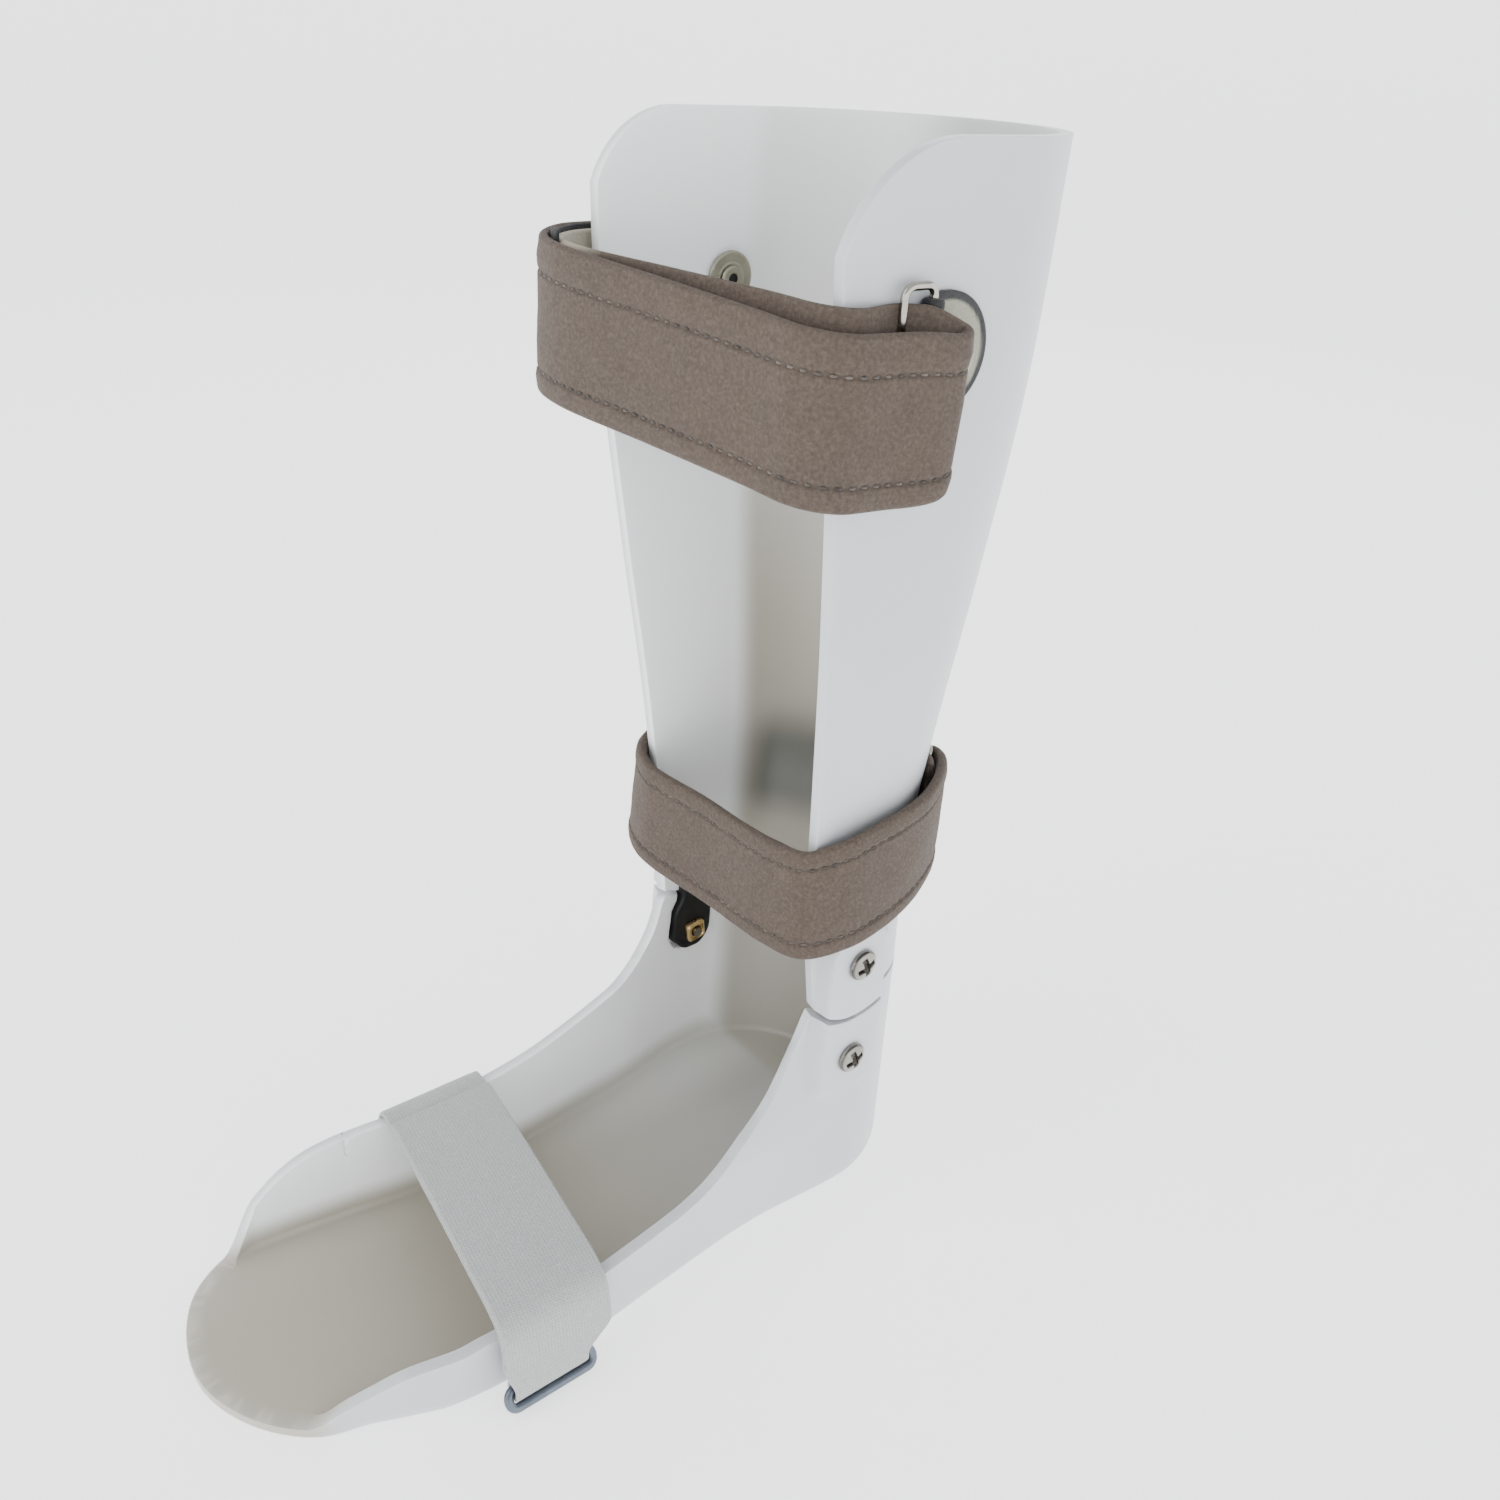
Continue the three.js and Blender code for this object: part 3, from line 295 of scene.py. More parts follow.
# ---------------------------------------------------------------- materials
class Shader:
    """A small helper for node materials whose patterns are placed in the row frame."""

    def __init__(self, name, **values):
        self.material = bpy.data.materials.new(name)
        self.material.use_nodes = True
        self.nodes, self.links = self.material.node_tree.nodes, self.material.node_tree.links
        self.principled = self.nodes["Principled BSDF"]
        for key, value in values.items():
            self.principled.inputs[key.replace("_", " ")].default_value = value
        self.place = self.nodes.new("ShaderNodeTexCoord").outputs["Object"]

    def feed(self, socket, value):
        if hasattr(value, "is_linked"):
            self.links.new(value, socket)
        elif socket.type == "RGBA" and len(value) == 3:
            socket.default_value = (*value, 1)
        else:
            socket.default_value = value

    def add(self, kind, inputs=(), **settings):
        node = self.nodes.new("ShaderNode" + kind)
        for key, value in settings.items():
            setattr(node, key, value)
        for key, value in dict(inputs).items():
            self.feed(node.inputs[key], value)
        return node

    def shade(self, name):
        """A value that make() stored at the mesh's points."""
        return self.add("Attribute", attribute_name=name).outputs["Fac"]

    def noise(self, scale, detail=3.0, rough=0.55):
        inputs = {"Vector": self.place, "Scale": scale, "Detail": detail, "Roughness": rough}
        return self.add("TexNoise", inputs).outputs["Fac"]

    def ramp(self, value, stops):
        node = self.add("ValToRGB", {"Fac": value})
        elements = node.color_ramp.elements
        while len(elements) < len(stops):
            elements.new(0.5)
        for element, (at, colour) in zip(elements, stops):
            element.position = at
            element.color = (*colour, 1) if hasattr(colour, "__len__") else (colour, colour, colour, 1)
        return node.outputs["Color"]

    def mix(self, factor, a, b, blend="MIX"):
        node = self.add("Mix", data_type="RGBA", blend_type=blend)
        for index, value in ((0, factor), (6, a), (7, b)):
            self.feed(node.inputs[index], value)
        return node.outputs[2]

    def math(self, operation, a, b=0.0):
        node = self.add("Math", operation=operation)
        for socket, value in zip(node.inputs, (a, b)):
            self.feed(socket, value)
        return node.outputs[0]

    def total(self, a, share_a, b, share_b):
        """A weighted sum of two values."""
        return self.math("ADD", self.math("MULTIPLY", a, share_a), self.math("MULTIPLY", b, share_b))

    def finish(self, colour, roughness, height=None, bump=0.3, distance=0.0005):
        self.feed(self.principled.inputs["Base Color"], colour)
        self.feed(self.principled.inputs["Roughness"], roughness)
        if height is not None:
            node = self.add("Bump", {"Height": height, "Strength": bump, "Distance": distance})
            self.feed(self.principled.inputs["Normal"], node.outputs["Normal"])
        return self.material


def shell_material():
    s = Shader("shell_plastic", Subsurface_Weight=0.25, Subsurface_Scale=0.006, IOR=1.49, Coat_Weight=0.12,
               Coat_Roughness=0.25)
    s.principled.inputs["Subsurface Radius"].default_value = (1.0, 0.95, 0.85)
    cloud = s.noise(14, 2)
    base = s.ramp(cloud, [(0.35, (0.490, 0.512, 0.532)), (0.65, (0.535, 0.550, 0.568))])
    tone, pale, seen = s.shade("tone"), s.shade("pale"), s.shade("seen")
    # painted light on the inner medial wall
    base = s.mix(pale, base, (0.90, 0.925, 0.94))
    # painted shade and painted warm bounce light: the deep inside and the toe rim darken towards a warm brown
    colour = s.mix(tone, base, (0.375, 0.345, 0.275))
    # painted shade of the strap behind the heel, seen through the wall
    colour = s.mix(seen, colour, (0.118, 0.122, 0.112))
    scuff = s.noise(420, 4, 0.7)
    rough = s.ramp(s.total(scuff, 0.35, cloud, 0.65), [(0.3, 0.30), (0.7, 0.46)])
    wave = s.math("ADD", s.noise(38, 2), s.math("MULTIPLY", scuff, 0.05))
    return s.finish(colour, rough, wave, 0.10, 0.0012)


def pad_material():
    s = Shader("brushed_pad", Sheen_Weight=0.05, Sheen_Roughness=0.5)
    s.principled.inputs["Sheen Tint"].default_value = (0.75, 0.70, 0.66, 1)
    fuzz, fleck, cloud = s.noise(2600, 4, 0.7), s.noise(900, 4, 0.62), s.noise(70, 3)
    base = s.ramp(fleck, [(0.30, (0.046, 0.034, 0.025)), (0.5, (0.064, 0.047, 0.036)),
                          (0.70, (0.089, 0.069, 0.054))])
    warm = s.mix(cloud, (0.93, 0.93, 0.95), (1.07, 1.02, 0.95))
    colour = s.mix(1.0, base, warm, "MULTIPLY")
    tone, pale = s.shade("tone"), s.shade("pale")
    # the calf strap's pale khaki lining, its own colour
    colour = s.mix(pale, colour, s.mix(fleck, (0.27, 0.24, 0.18), (0.40, 0.37, 0.30)))
    # painted shade in the stitched grooves, darkest at each stitch
    colour = s.mix(tone, colour, (0.030, 0.022, 0.017))
    height = s.total(fuzz, 0.6, fleck, 0.9)
    return s.finish(colour, s.ramp(fuzz, [(0.3, 0.78), (0.7, 0.96)]), height, 0.55, 0.0006)


def webbing_material(name, low, high, pitch, sheen=0.1, rough=(0.55, 0.8)):
    """A ribbed weave that follows each strap's own length and width, in millimetres."""
    s = Shader(name, Sheen_Weight=sheen)
    uv = s.add("UVMap", uv_map="strap").outputs["UV"]
    split = s.add("SeparateXYZ", {"Vector": uv})
    turn = 2 * math.pi / pitch
    warp = s.math("SINE", s.math("MULTIPLY", split.outputs["Y"], turn))
    weft = s.math("SINE", s.math("MULTIPLY", split.outputs["X"], turn * 1.15))
    weave = s.math("MULTIPLY", warp, weft)
    height = s.total(weave, 0.5, warp, 0.25)
    fibre = s.noise(1500, 4, 0.7)
    level = s.math("ADD", s.math("MULTIPLY", height, 0.3), fibre)
    colour = s.ramp(level, [(0.3, low), (0.75, high)])
    return s.finish(colour, s.ramp(fibre, [(0.3, rough[0]), (0.7, rough[1])]), height, 0.4, 0.0003)


def metal_material(name, colour, low, high):
    s = Shader(name, Metallic=1.0)
    scratch = s.noise(900, 5, 0.75)
    cloud = s.noise(160, 3)
    worn = tuple(channel * 0.85 for channel in colour)
    tint = s.mix(s.ramp(cloud, [(0.35, 0.0), (0.7, 1.0)]), colour, worn)
    # painted shade: where a piece stores it, as the screws' cross recesses and head rims, the metal darkens
    # to near black
    tint = s.mix(s.shade("tone"), tint, (0.030, 0.026, 0.022))
    rough = s.ramp(s.total(scratch, 0.5, cloud, 0.5), [(0.35, low), (0.65, high)])
    return s.finish(tint, rough, scratch, 0.06, 0.0002)


def rubber_material():
    s = Shader("joint_rubber", Specular_IOR_Level=0.3)
    grain, cloud = s.noise(1100, 3), s.noise(90, 2)
    colour = s.ramp(cloud, [(0.3, (0.004, 0.004, 0.005)), (0.7, (0.010, 0.010, 0.011))])
    return s.finish(colour, s.ramp(grain, [(0.3, 0.38), (0.7, 0.55)]), grain, 0.15, 0.0003)


def thread_material():
    s = Shader("stitch_thread", Sheen_Weight=0.2)
    twist = s.noise(1800, 3)
    colour = s.ramp(s.noise(140, 2), [(0.40, (0.022, 0.016, 0.012)), (0.72, (0.12, 0.098, 0.080))])
    return s.finish(colour, s.ramp(twist, [(0.3, 0.6), (0.7, 0.85)]), twist, 0.5, 0.0002)


def tab_material():
    """A khaki face inside a black bound edge."""
    s = Shader("bound_tab", Sheen_Weight=0.1)
    grain = s.noise(1300, 4, 0.7)
    face = s.ramp(grain, [(0.3, (0.20, 0.20, 0.155)), (0.7, (0.30, 0.295, 0.235))])
    colour = s.mix(s.shade("tone"), face, (0.010, 0.010, 0.011))
    return s.finish(colour, s.ramp(grain, [(0.3, 0.6), (0.7, 0.85)]), grain, 0.3, 0.0003)


SHELL = shell_material()
PADDING = pad_material()
WEBBING = webbing_material("pale_webbing", (0.31, 0.315, 0.315), (0.47, 0.475, 0.475), 1.1)
BLACK_WEB = webbing_material("black_webbing", (0.004, 0.004, 0.005), (0.012, 0.012, 0.013), 0.9, 0.05,
                             (0.6, 0.9))
NICKEL = metal_material("nickel_plate", (0.40, 0.375, 0.335), 0.10, 0.20)
CHROME = metal_material("screw_plate", (0.27, 0.26, 0.235), 0.08, 0.18)
SATIN = metal_material("satin_washer", (0.34, 0.33, 0.255), 0.34, 0.50)
STEEL = metal_material("dull_steel", (0.13, 0.15, 0.18), 0.28, 0.45)
BRASS = metal_material("plain_brass", (0.72, 0.52, 0.24), 0.22, 0.38)
RUBBER = rubber_material()
THREAD = thread_material()
TAB_FACE = tab_material()


# ---------------------------------------------------------------- the moulded shells
def leg_at(z):
    z = np.asarray(z, float)
    return {key: along(list(zip(LEG["z"], LEG[key])), z) for key in LEG if key != "z"}


def leg_side(leg, y):
    t = (leg["centre"] - y) / (leg["centre"] - leg["front"])
    return leg["half"] - (leg["half"] - leg["front_half"]) * t * t


def leg_front(leg, side, z):
    bow = BOW[side] * np.maximum(0, 1 - ((z - 195) / 90) ** 2)
    return leg["front"] + SETBACK[side] * (1 + smoothstep(z, 250, HEIGHT)) + bow


def leg_point(s, z, side):
    """A point of the calf section's outside: s is 0 behind the leg, 1 at its widest and 2 at the front."""
    leg = leg_at(z)
    turn = np.clip(s, 0, 1) * math.pi / 2
    x = leg["half"] * np.sin(turn)
    y = leg["centre"] + (leg["back"] - leg["centre"]) * np.cos(turn)
    ahead = np.clip(s - 1, 0, None)
    side_y = leg["centre"] + (leg_front(leg, side, z) - leg["centre"]) * ahead
    x = np.where(s > 1, leg_side(leg, side_y), x)
    return np.stack([side * x, np.where(s > 1, side_y, y)], axis=-1)


def cut_height(y):
    dip = np.maximum(0, 1 - ((y + 0.5) / 13.5) ** 2)
    return ANKLE_Z + 0.6 - 3.2 * dip + 2.4 * smoothstep(y, 12.5, 18)


def rounded_box_distance(y, z, half, low, high, radius):
    """Distance outside a rounded rectangle in the side view; negative inside."""
    dy = np.abs(y) - half + radius
    dz = np.abs(z - (low + high) / 2) - (high - low) / 2 + radius
    outside = np.hypot(np.maximum(dy, 0), np.maximum(dz, 0))
    return outside + np.minimum(np.maximum(dy, dz), 0) - radius


def joint_half_width(z, grow=0.0):
    """Half width of the flexure joint's outline by height; its ends are half circles."""
    t = np.abs(np.asarray(z, float) - ANKLE_Z)
    half, waist, end = JOINT["width"] / 2 + grow, JOINT["waist"] / 2 + grow, JOINT["length"] / 2 + grow
    neck = waist + (half - waist) * smoothstep(t, 3, 11)
    cap = np.sqrt(np.maximum(half**2 - np.maximum(t - end + half, 0) ** 2, 0))
    return np.where(t > end - half, cap, neck)


def raise_blisters(outer, inner, side):
    """Moulds the joint's raised cover into the outside's points and its pocket into the inside's."""
    y, z = outer[..., 1], outer[..., 2]
    inside = smoothstep(-rounded_box_distance(y, z, BLISTER["half"] + 0.8, BLISTER["low"] - 0.8,
                                              BLISTER["high"] + 0.8, BLISTER["radius"]), 0, 2.8)
    reach = np.maximum(BLISTER["face"] - np.abs(outer[..., 0]), 0) * inside
    outer[..., 0] += side * reach
    y, z = inner[..., 1], inner[..., 2]
    pocket = smoothstep(joint_half_width(z, 1.0) - np.abs(y), 0, 0.9)
    depth = np.maximum(JOINT["outer"] + 0.5 - np.abs(inner[..., 0]), 0) * pocket
    inner[..., 0] += side * depth


def seen_through(p):
    """Painted shade where the strap behind the heel would show darkly through the translucent plastic."""
    x, y, z = -p[..., 0], p[..., 1], p[..., 2]
    across = smoothstep(x, -4, 2) * (1 - smoothstep(x, 34, 41)) * smoothstep(y, 8, 20)
    return 0.87 * across * smoothstep(z, 104, 124) * (1 - smoothstep(z, 140, 162))


def warm_tone(inner, strength):
    """Painted shade and painted warm bounce light: how much the deep inside, the rear wall and the floor,
    darkens towards the warm straps' colour.
    """
    rear = smoothstep(inner[..., 1], 12, 24) * (1 - 0.75 * smoothstep(inner[..., 2], 180, 330))
    floor = (1 - smoothstep(inner[..., 2], 5, 16)) * (0.62 + 0.63 * smoothstep(-inner[..., 1], 0, 100))
    return np.clip(np.maximum(rear, floor), 0, 1.3) * strength


def painted_light_share(p):
    """Painted light: how far the inside lies on the medial wall, away from the deep rear, where it is painted
    paler.
    """
    return smoothstep(-p[..., 0], 8, 34)


def calf_shell():
    s = np.r_[np.linspace(0, 1, 40), 1 + np.linspace(0, 1, 46)[1:]]
    rows = np.r_[np.linspace(0, 0.13, 34), np.linspace(0.13, 1, 118)[1:]]
    sides = []
    for side in (-1, 1):
        grid_s = np.repeat(s[None, :], len(rows), axis=0)
        radius = CORNER_RADIUS[side]
        edge = leg_front(leg_at(np.full(1, HEIGHT)), side, HEIGHT)[0]
        top = np.full(len(s), HEIGHT)
        low = np.full(len(s), ANKLE_Z)
        for _ in range(12):
            y = leg_point(s, low, side)[:, 1]
            low = cut_height(y) + KERF / 2 + WEDGE * np.clip((-5 - y) / 11, 0, 1.4)
            back = np.clip(radius - (leg_point(s, top, side)[:, 1] - edge), 0, radius)
            top = 0.5 * top + 0.5 * (HEIGHT - radius + np.sqrt(radius**2 - back**2))
        z = low[None, :] + (top - low)[None, :] * rows[:, None]
        middle = leg_point(grid_s, z, side)
        tangent = leg_point(grid_s + 1e-3, z, side) - leg_point(grid_s - 1e-3, z, side)
        tangent[:, 0] = [side, 0]
        normal = unit(np.stack([tangent[..., 1], -tangent[..., 0]], axis=-1)) * -side
        outer = np.dstack([middle, z])
        inner = np.dstack([middle - normal * WALL, z])
        raise_blisters(outer, inner, side)
        sides.append((outer, inner))
    (mo, mi), (lo, li) = sides
    outer = np.concatenate([mo[:, ::-1], lo[:, 1:]], axis=1)
    inner = np.concatenate([mi[:, ::-1], li[:, 1:]], axis=1)
    loop = np.concatenate([outer, inner[:, ::-1]], axis=1)
    # painted shade and painted warm bounce light on the inside only, none on the outside
    tone = np.concatenate([np.zeros(outer.shape[:2]), warm_tone(inner, 0.9)[:, ::-1]], axis=1)
    # painted shade of the strap seen through the wall and painted light on the medial wall, both on the
    # inside only
    seen, pale = seen_through(loop), painted_light_share(loop)
    seen[:, :outer.shape[1]] = pale[:, :outer.shape[1]] = 0
    piece = make("calf_shell_skin", loop.reshape(-1, 3), skin_faces(*loop.shape[:2]), SHELL, "calf_section",
                 tone=tone.ravel(), seen=seen.ravel(), pale=pale.ravel())
    bevel(piece, 0.95)
    stand_in(piece, "shell", "calf_shell")


ANKLE = {key: float(value[0]) for key, value in leg_at(np.array([ANKLE_Z])).items()}


def foot_wall(side, y, z, half=0.0, join=1.0):
    """The foot section's half width, which becomes the leg's at the ankle; join 0 gives half instead."""
    foot = half + (along(SIDE[side], -y) - half) * join + 0.04 * np.minimum(z, 34) * join
    return foot + (leg_side(ANKLE, np.maximum(y, -40)) - foot) * smoothstep(z, 34, ANKLE_Z)


def foot_plan(side, z, t):
    """A point of the foot section's outside: t is 0 behind the heel, 1 at its widest and 2 at the toe."""
    low = np.clip((ANKLE_Z - z) / ANKLE_Z, 0, 1)
    half, centre, back = ANKLE["half"] + 0.8 * low, ANKLE["centre"] - 4 * low, ANKLE["back"] + 4 * low
    turn = np.clip(t, 0, 1) * math.pi / 2
    heel = np.stack([half * np.sin(turn), centre + (back - centre) * np.cos(turn)], axis=-1)
    toe = TOE_LINE[side]
    share = np.clip(t - 1, 0, 1)
    y = np.interp(share, TOE_SHARE[side], toe[:, 1]) + (centre - toe[0, 1]) * (1 - share) ** 4
    edge = np.abs(np.interp(share, TOE_SHARE[side], toe[:, 0]))
    wall = foot_wall(side, y, z, half, smoothstep(centre - y, 0, 40))
    x = wall + (np.minimum(wall, edge) - wall) * smoothstep(-y, 140, 168)
    return np.where((t > 1)[..., None], np.stack([x, y], axis=-1), heel) * np.array([side, 1])


def toe_line(side):
    """The foot section's side seen from above, from its widest point at the heel to the toe's tip."""
    ys = np.linspace(5, -150, 80)
    wall = np.stack([side * along(SIDE[side], -ys), ys], axis=1)
    return np.vstack([wall[:-1], TOE_CURVE[TOE_TIP:][::-1] if side > 0 else TOE_CURVE[:TOE_TIP + 1]])


TOE_CURVE = spline(TOE, 0.5)
TOE_TIP = int(np.argmin(np.abs(TOE_CURVE[:, 0])))
TOE_AHEAD = unit(TOE_CURVE[TOE_TIP + 1] - TOE_CURVE[TOE_TIP - 1])
TOE_CURVE[TOE_TIP, 0] = 0
TOE_LINE = {side: toe_line(side) for side in (-1, 1)}
TOE_SHARE = {}
for _side, _line in TOE_LINE.items():
    _length = travelled(_line)
    TOE_SHARE[_side] = _length / _length[-1]


def foot_top(side, y):
    trim = np.minimum(along(TRIM[side], -y), cut_height(-14.0) - KERF / 2)
    return np.maximum(np.where(y > -13.5, cut_height(y) - KERF / 2, trim), WALL)


def foot_profile(side, t):
    """One column's outer points, from the rim down and under, and as many inner points."""
    n_wall, n_arc = 62, 7
    top = 60.0
    for _ in range(8):
        y = foot_plan(side, np.array([top]), np.array([t]))[0, 1]
        top = float(foot_top(side, np.array([y]))[0])

    def line(radius, floor, base):
        """Heights and insets of a vertical wall that turns into the floor with a radius."""
        start = math.degrees(math.asin(np.clip(1 - (top - floor) / radius, 0, 1)))
        wall = np.linspace(top, min(top, floor + radius), n_wall)
        arc = np.radians(np.linspace(start, 90, n_arc))
        z = np.r_[wall, floor + radius * (1 - np.sin(arc[1:]))]
        first = radius * (1 - math.cos(math.radians(start)))
        inset = np.r_[np.full(n_wall, base + first), base + radius * (1 - np.cos(arc[1:]))]
        return z, inset

    cut = float(smoothstep(-y, 176, 192))
    sole = SOLE_RADIUS + (1.4 - SOLE_RADIUS) * cut
    result = []
    for radius, floor, base in ((sole, 0.0, 0.0), (SOLE_RADIUS - WALL, WALL, WALL)):
        z, inset = line(radius, floor, base)
        tt = np.full(len(z), t)
        p = foot_plan(side, z, tt)
        step = 2e-3
        ahead = foot_plan(-side, z, 4 - tt - step) if t + step > 2 else foot_plan(side, z, tt + step)
        tangent = ahead - foot_plan(side, z, tt - step)
        if t <= 0:
            tangent[:] = (side, 0)
        if t >= 2:
            tangent[:] = -side * TOE_AHEAD
        normal = unit(np.stack([tangent[:, 1], -tangent[:, 0]], axis=1)) * -side
        result.append(np.column_stack([p - normal * inset[:, None], z]))
    return result


def foot_shell():
    heel = np.linspace(0, 1, 34)
    pieces = (0, 0.16, 34), (0.16, 0.84, 84), (0.84, 1, 34)
    front = 1 + np.concatenate([np.linspace(*piece)[1:] for piece in pieces])
    n_floor = 14
    rings, tones, pales = [], [], []
    for t in np.r_[heel, front]:
        (m_out, m_in), (l_out, l_in) = (foot_profile(side, t) for side in (-1, 1))
        raise_blisters(m_out, m_in, -1)
        raise_blisters(l_out, l_in, 1)
        share = np.linspace(0, 1, n_floor + 2)[1:-1, None]
        under = m_out[-1] + (l_out[-1] - m_out[-1]) * share
        floor = l_in[-1] + (m_in[-1] - l_in[-1]) * share
        inside = np.vstack([l_in, floor, m_in[::-1]])
        rings.append(np.vstack([m_out, under, l_out[::-1], inside]))
        blank = np.zeros(len(rings[-1]) - len(inside))
        # painted shade and painted warm bounce light on the inside of each column
        tones.append(np.r_[blank, warm_tone(inside, 0.75)])
        # painted light on the medial inside
        pales.append(np.r_[blank, painted_light_share(inside)])
    points, faces = swept(rings)
    # painted shade on the toe plate's thin rim, so its lit edge takes the inside floor's warm dark colour
    tone = np.maximum(np.concatenate(tones), 0.75 * smoothstep(-points[:, 1], 184, 196) * (points[:, 2] < 6))
    piece = make("foot_shell_skin", points, faces[:-2], SHELL, "foot_section", tone=tone, weld=2e-5,
                 pale=np.concatenate(pales))
    bevel(piece, 0.9, angle=50)
    stand_in(piece, "shell", "foot_shell")


calf_shell()
foot_shell()


# ---------------------------------------------------------------- straps
class Band:
    """A strap along a path: a middle, outward and up directions, a height and a thickness at each station."""

    def __init__(self, middle, outward, up, height, thickness):
        self.middle, self.outward, self.up = middle, unit(outward), unit(up)
        self.height, self.thickness = (np.zeros(len(middle)) + value for value in (height, thickness))
        self.travel = travelled(middle)
        end = np.minimum(self.travel, self.travel[-1] - self.travel)
        radius = self.thickness / 2
        self.thickness *= np.sqrt(np.clip(1 - (1 - np.minimum(end / radius, 1)) ** 2, 0.08, 1))

    def at(self, values, s):
        if values.ndim == 1:
            return np.interp(s, self.travel, values)
        return np.stack([np.interp(s, self.travel, values[:, k]) for k in range(values.shape[1])], axis=1)


def outward_of(ahead):
    """The level direction to the right of each direction of travel."""
    return np.stack([ahead[:, 1], -ahead[:, 0], np.zeros(len(ahead))], axis=1)


def level_band(line, height, thickness):
    """A band whose width stands upright along a path in plan."""
    outward = outward_of(np.gradient(line, axis=0))
    return Band(line, outward, np.tile([0.0, 0, 1], (len(line), 1)), height, thickness)


def band_piece(name, band, material, body, grooves=(), crown=0.15, uneven=0.12, step=1.5, pale=None):
    """The band's surface: rolled edges, sewn grooves that pinch at each stitch, and a little unevenness."""
    half = band.height.max() / 2 - band.thickness.max() / 2
    spots = np.arange(-half, half + step / 2, step)
    for groove in grooves:
        spots = spots[np.abs(spots - groove) > 1.6]
        spots = np.r_[spots, groove + np.array([-1.5, -1.0, -0.6, -0.3, 0, 0.3, 0.6, 1.0, 1.5])]
    spots = np.sort(np.clip(spots, -half, half))
    turn = np.radians(np.linspace(-78, 78, 9))
    side = np.r_[np.ones(len(spots)), -np.sin(turn), -np.ones(len(spots)), np.sin(turn)]
    base = np.r_[spots, np.full(9, half), spots[::-1], np.full(9, -half)]
    roll = np.r_[np.zeros(len(spots)), np.cos(turn), np.zeros(len(spots)), -np.cos(turn)]
    n, k = len(band.middle), len(side)
    radius = band.thickness[:, None] / 2
    scale = (band.height[:, None] / 2 - radius) / half
    pinch = 0.74 + 0.26 * np.cos(2 * math.pi * band.travel[:, None] / STITCH_PITCH)
    dent = sum((np.exp(-((base - g) / 0.62) ** 2) for g in grooves), np.zeros(k))
    swell = crown * (1 - (base / half) ** 2)
    for groove in grooves:
        puff = math.copysign((half + abs(groove)) / 2, groove)
        swell = swell + 0.4 * np.exp(-((base - puff) / 2.4) ** 2)
    out = side * (radius + swell - GROOVE_DEPTH * dent * pinch)
    across = base * scale + roll * radius * 1.04
    points = (band.middle[:, None] + band.outward[:, None] * out[..., None]
              + band.up[:, None] * across[..., None])
    wander = ripple(points.reshape(-1, 3), 13.0, len(name)).reshape(n, k) * uneven
    wander += ripple(points.reshape(-1, 3), 4.5, len(name) + 1).reshape(n, k) * uneven * 0.35
    points = points + band.outward[:, None] * (wander * side)[..., None]
    uv = np.stack([np.broadcast_to(band.travel[:, None], (n, k)), across + (side < 0) * 3 * half], axis=-1)
    # painted shade: dark in the grooves, darkest where they pinch at each stitch
    shade = np.minimum(dent, 1) * (0.12 + 0.9 * ((pinch - 0.48) / 0.52) ** 1.5)
    lightness = np.broadcast_to((np.zeros(n) if pale is None else pale)[:, None], (n, k))
    vertices, faces = swept(points)
    return make(name, vertices, faces, material, body, uv=uv.reshape(-1, 2), weld=0, tone=shade.ravel(),
                pale=lightness.ravel())


def stitch_piece(name, band, rows, body, radius=0.42, clear=(0, 0)):
    """Rows of short stitches in the grooves on both sides of a band, except inside the clear stretch."""
    every = (np.arange(int(band.travel[-1] / STITCH_PITCH) - 1) + 1) * STITCH_PITCH
    sections, around = 5, 6
    t = np.linspace(-1, 1, sections)
    angle = circle(around)
    points, faces = [], []
    for side in (-1, 1):
        starts = every if side > 0 else every[(every < clear[0]) | (every > clear[1])]
        count = len(starts)
        for row in rows:
            s = starts[:, None] + t[None] * STITCH_PITCH * 0.31
            flat = s.ravel()
            middle, outward, up = (band.at(values, flat) for values in (band.middle, band.outward, band.up))
            outward, up = unit(outward), unit(up)
            thick, height = band.at(band.thickness, flat), band.at(band.height, flat)
            rise = thick / 2 - STITCH_DEPTH + 0.30 - np.tile(t**4, count) * 0.42
            scale = (height - thick) / (band.height.max() - band.thickness.max())
            centre = middle + outward * (side * rise)[:, None] + up * (row * scale)[:, None]
            size = radius * np.sqrt(np.maximum(1 - np.tile(t, count) ** 4 * 0.85, 0.1))
            ring = (centre[:, None] + outward[:, None] * (size[:, None] * np.cos(angle))[..., None]
                    + up[:, None] * (size[:, None] * np.sin(angle))[..., None])
            for block in ring.reshape(count, sections, around, 3):
                offset = len(points) * sections * around
                spots, sides = swept(block)
                points.append(spots)
                faces += [[offset + corner for corner in face] for face in sides]
    return make(name, np.vstack(points), faces, THREAD, body, weld=0)


def calf_centre_z(x, lateral_top=CALF_TOP["lateral"]):
    """Height of the calf strap's middle line, which drops from the medial to the lateral side."""
    medial = CALF_TOP["medial"]
    return medial + (lateral_top - medial) * np.clip((x + 63) / 126, 0, 1) - CALF_HEIGHT / 2


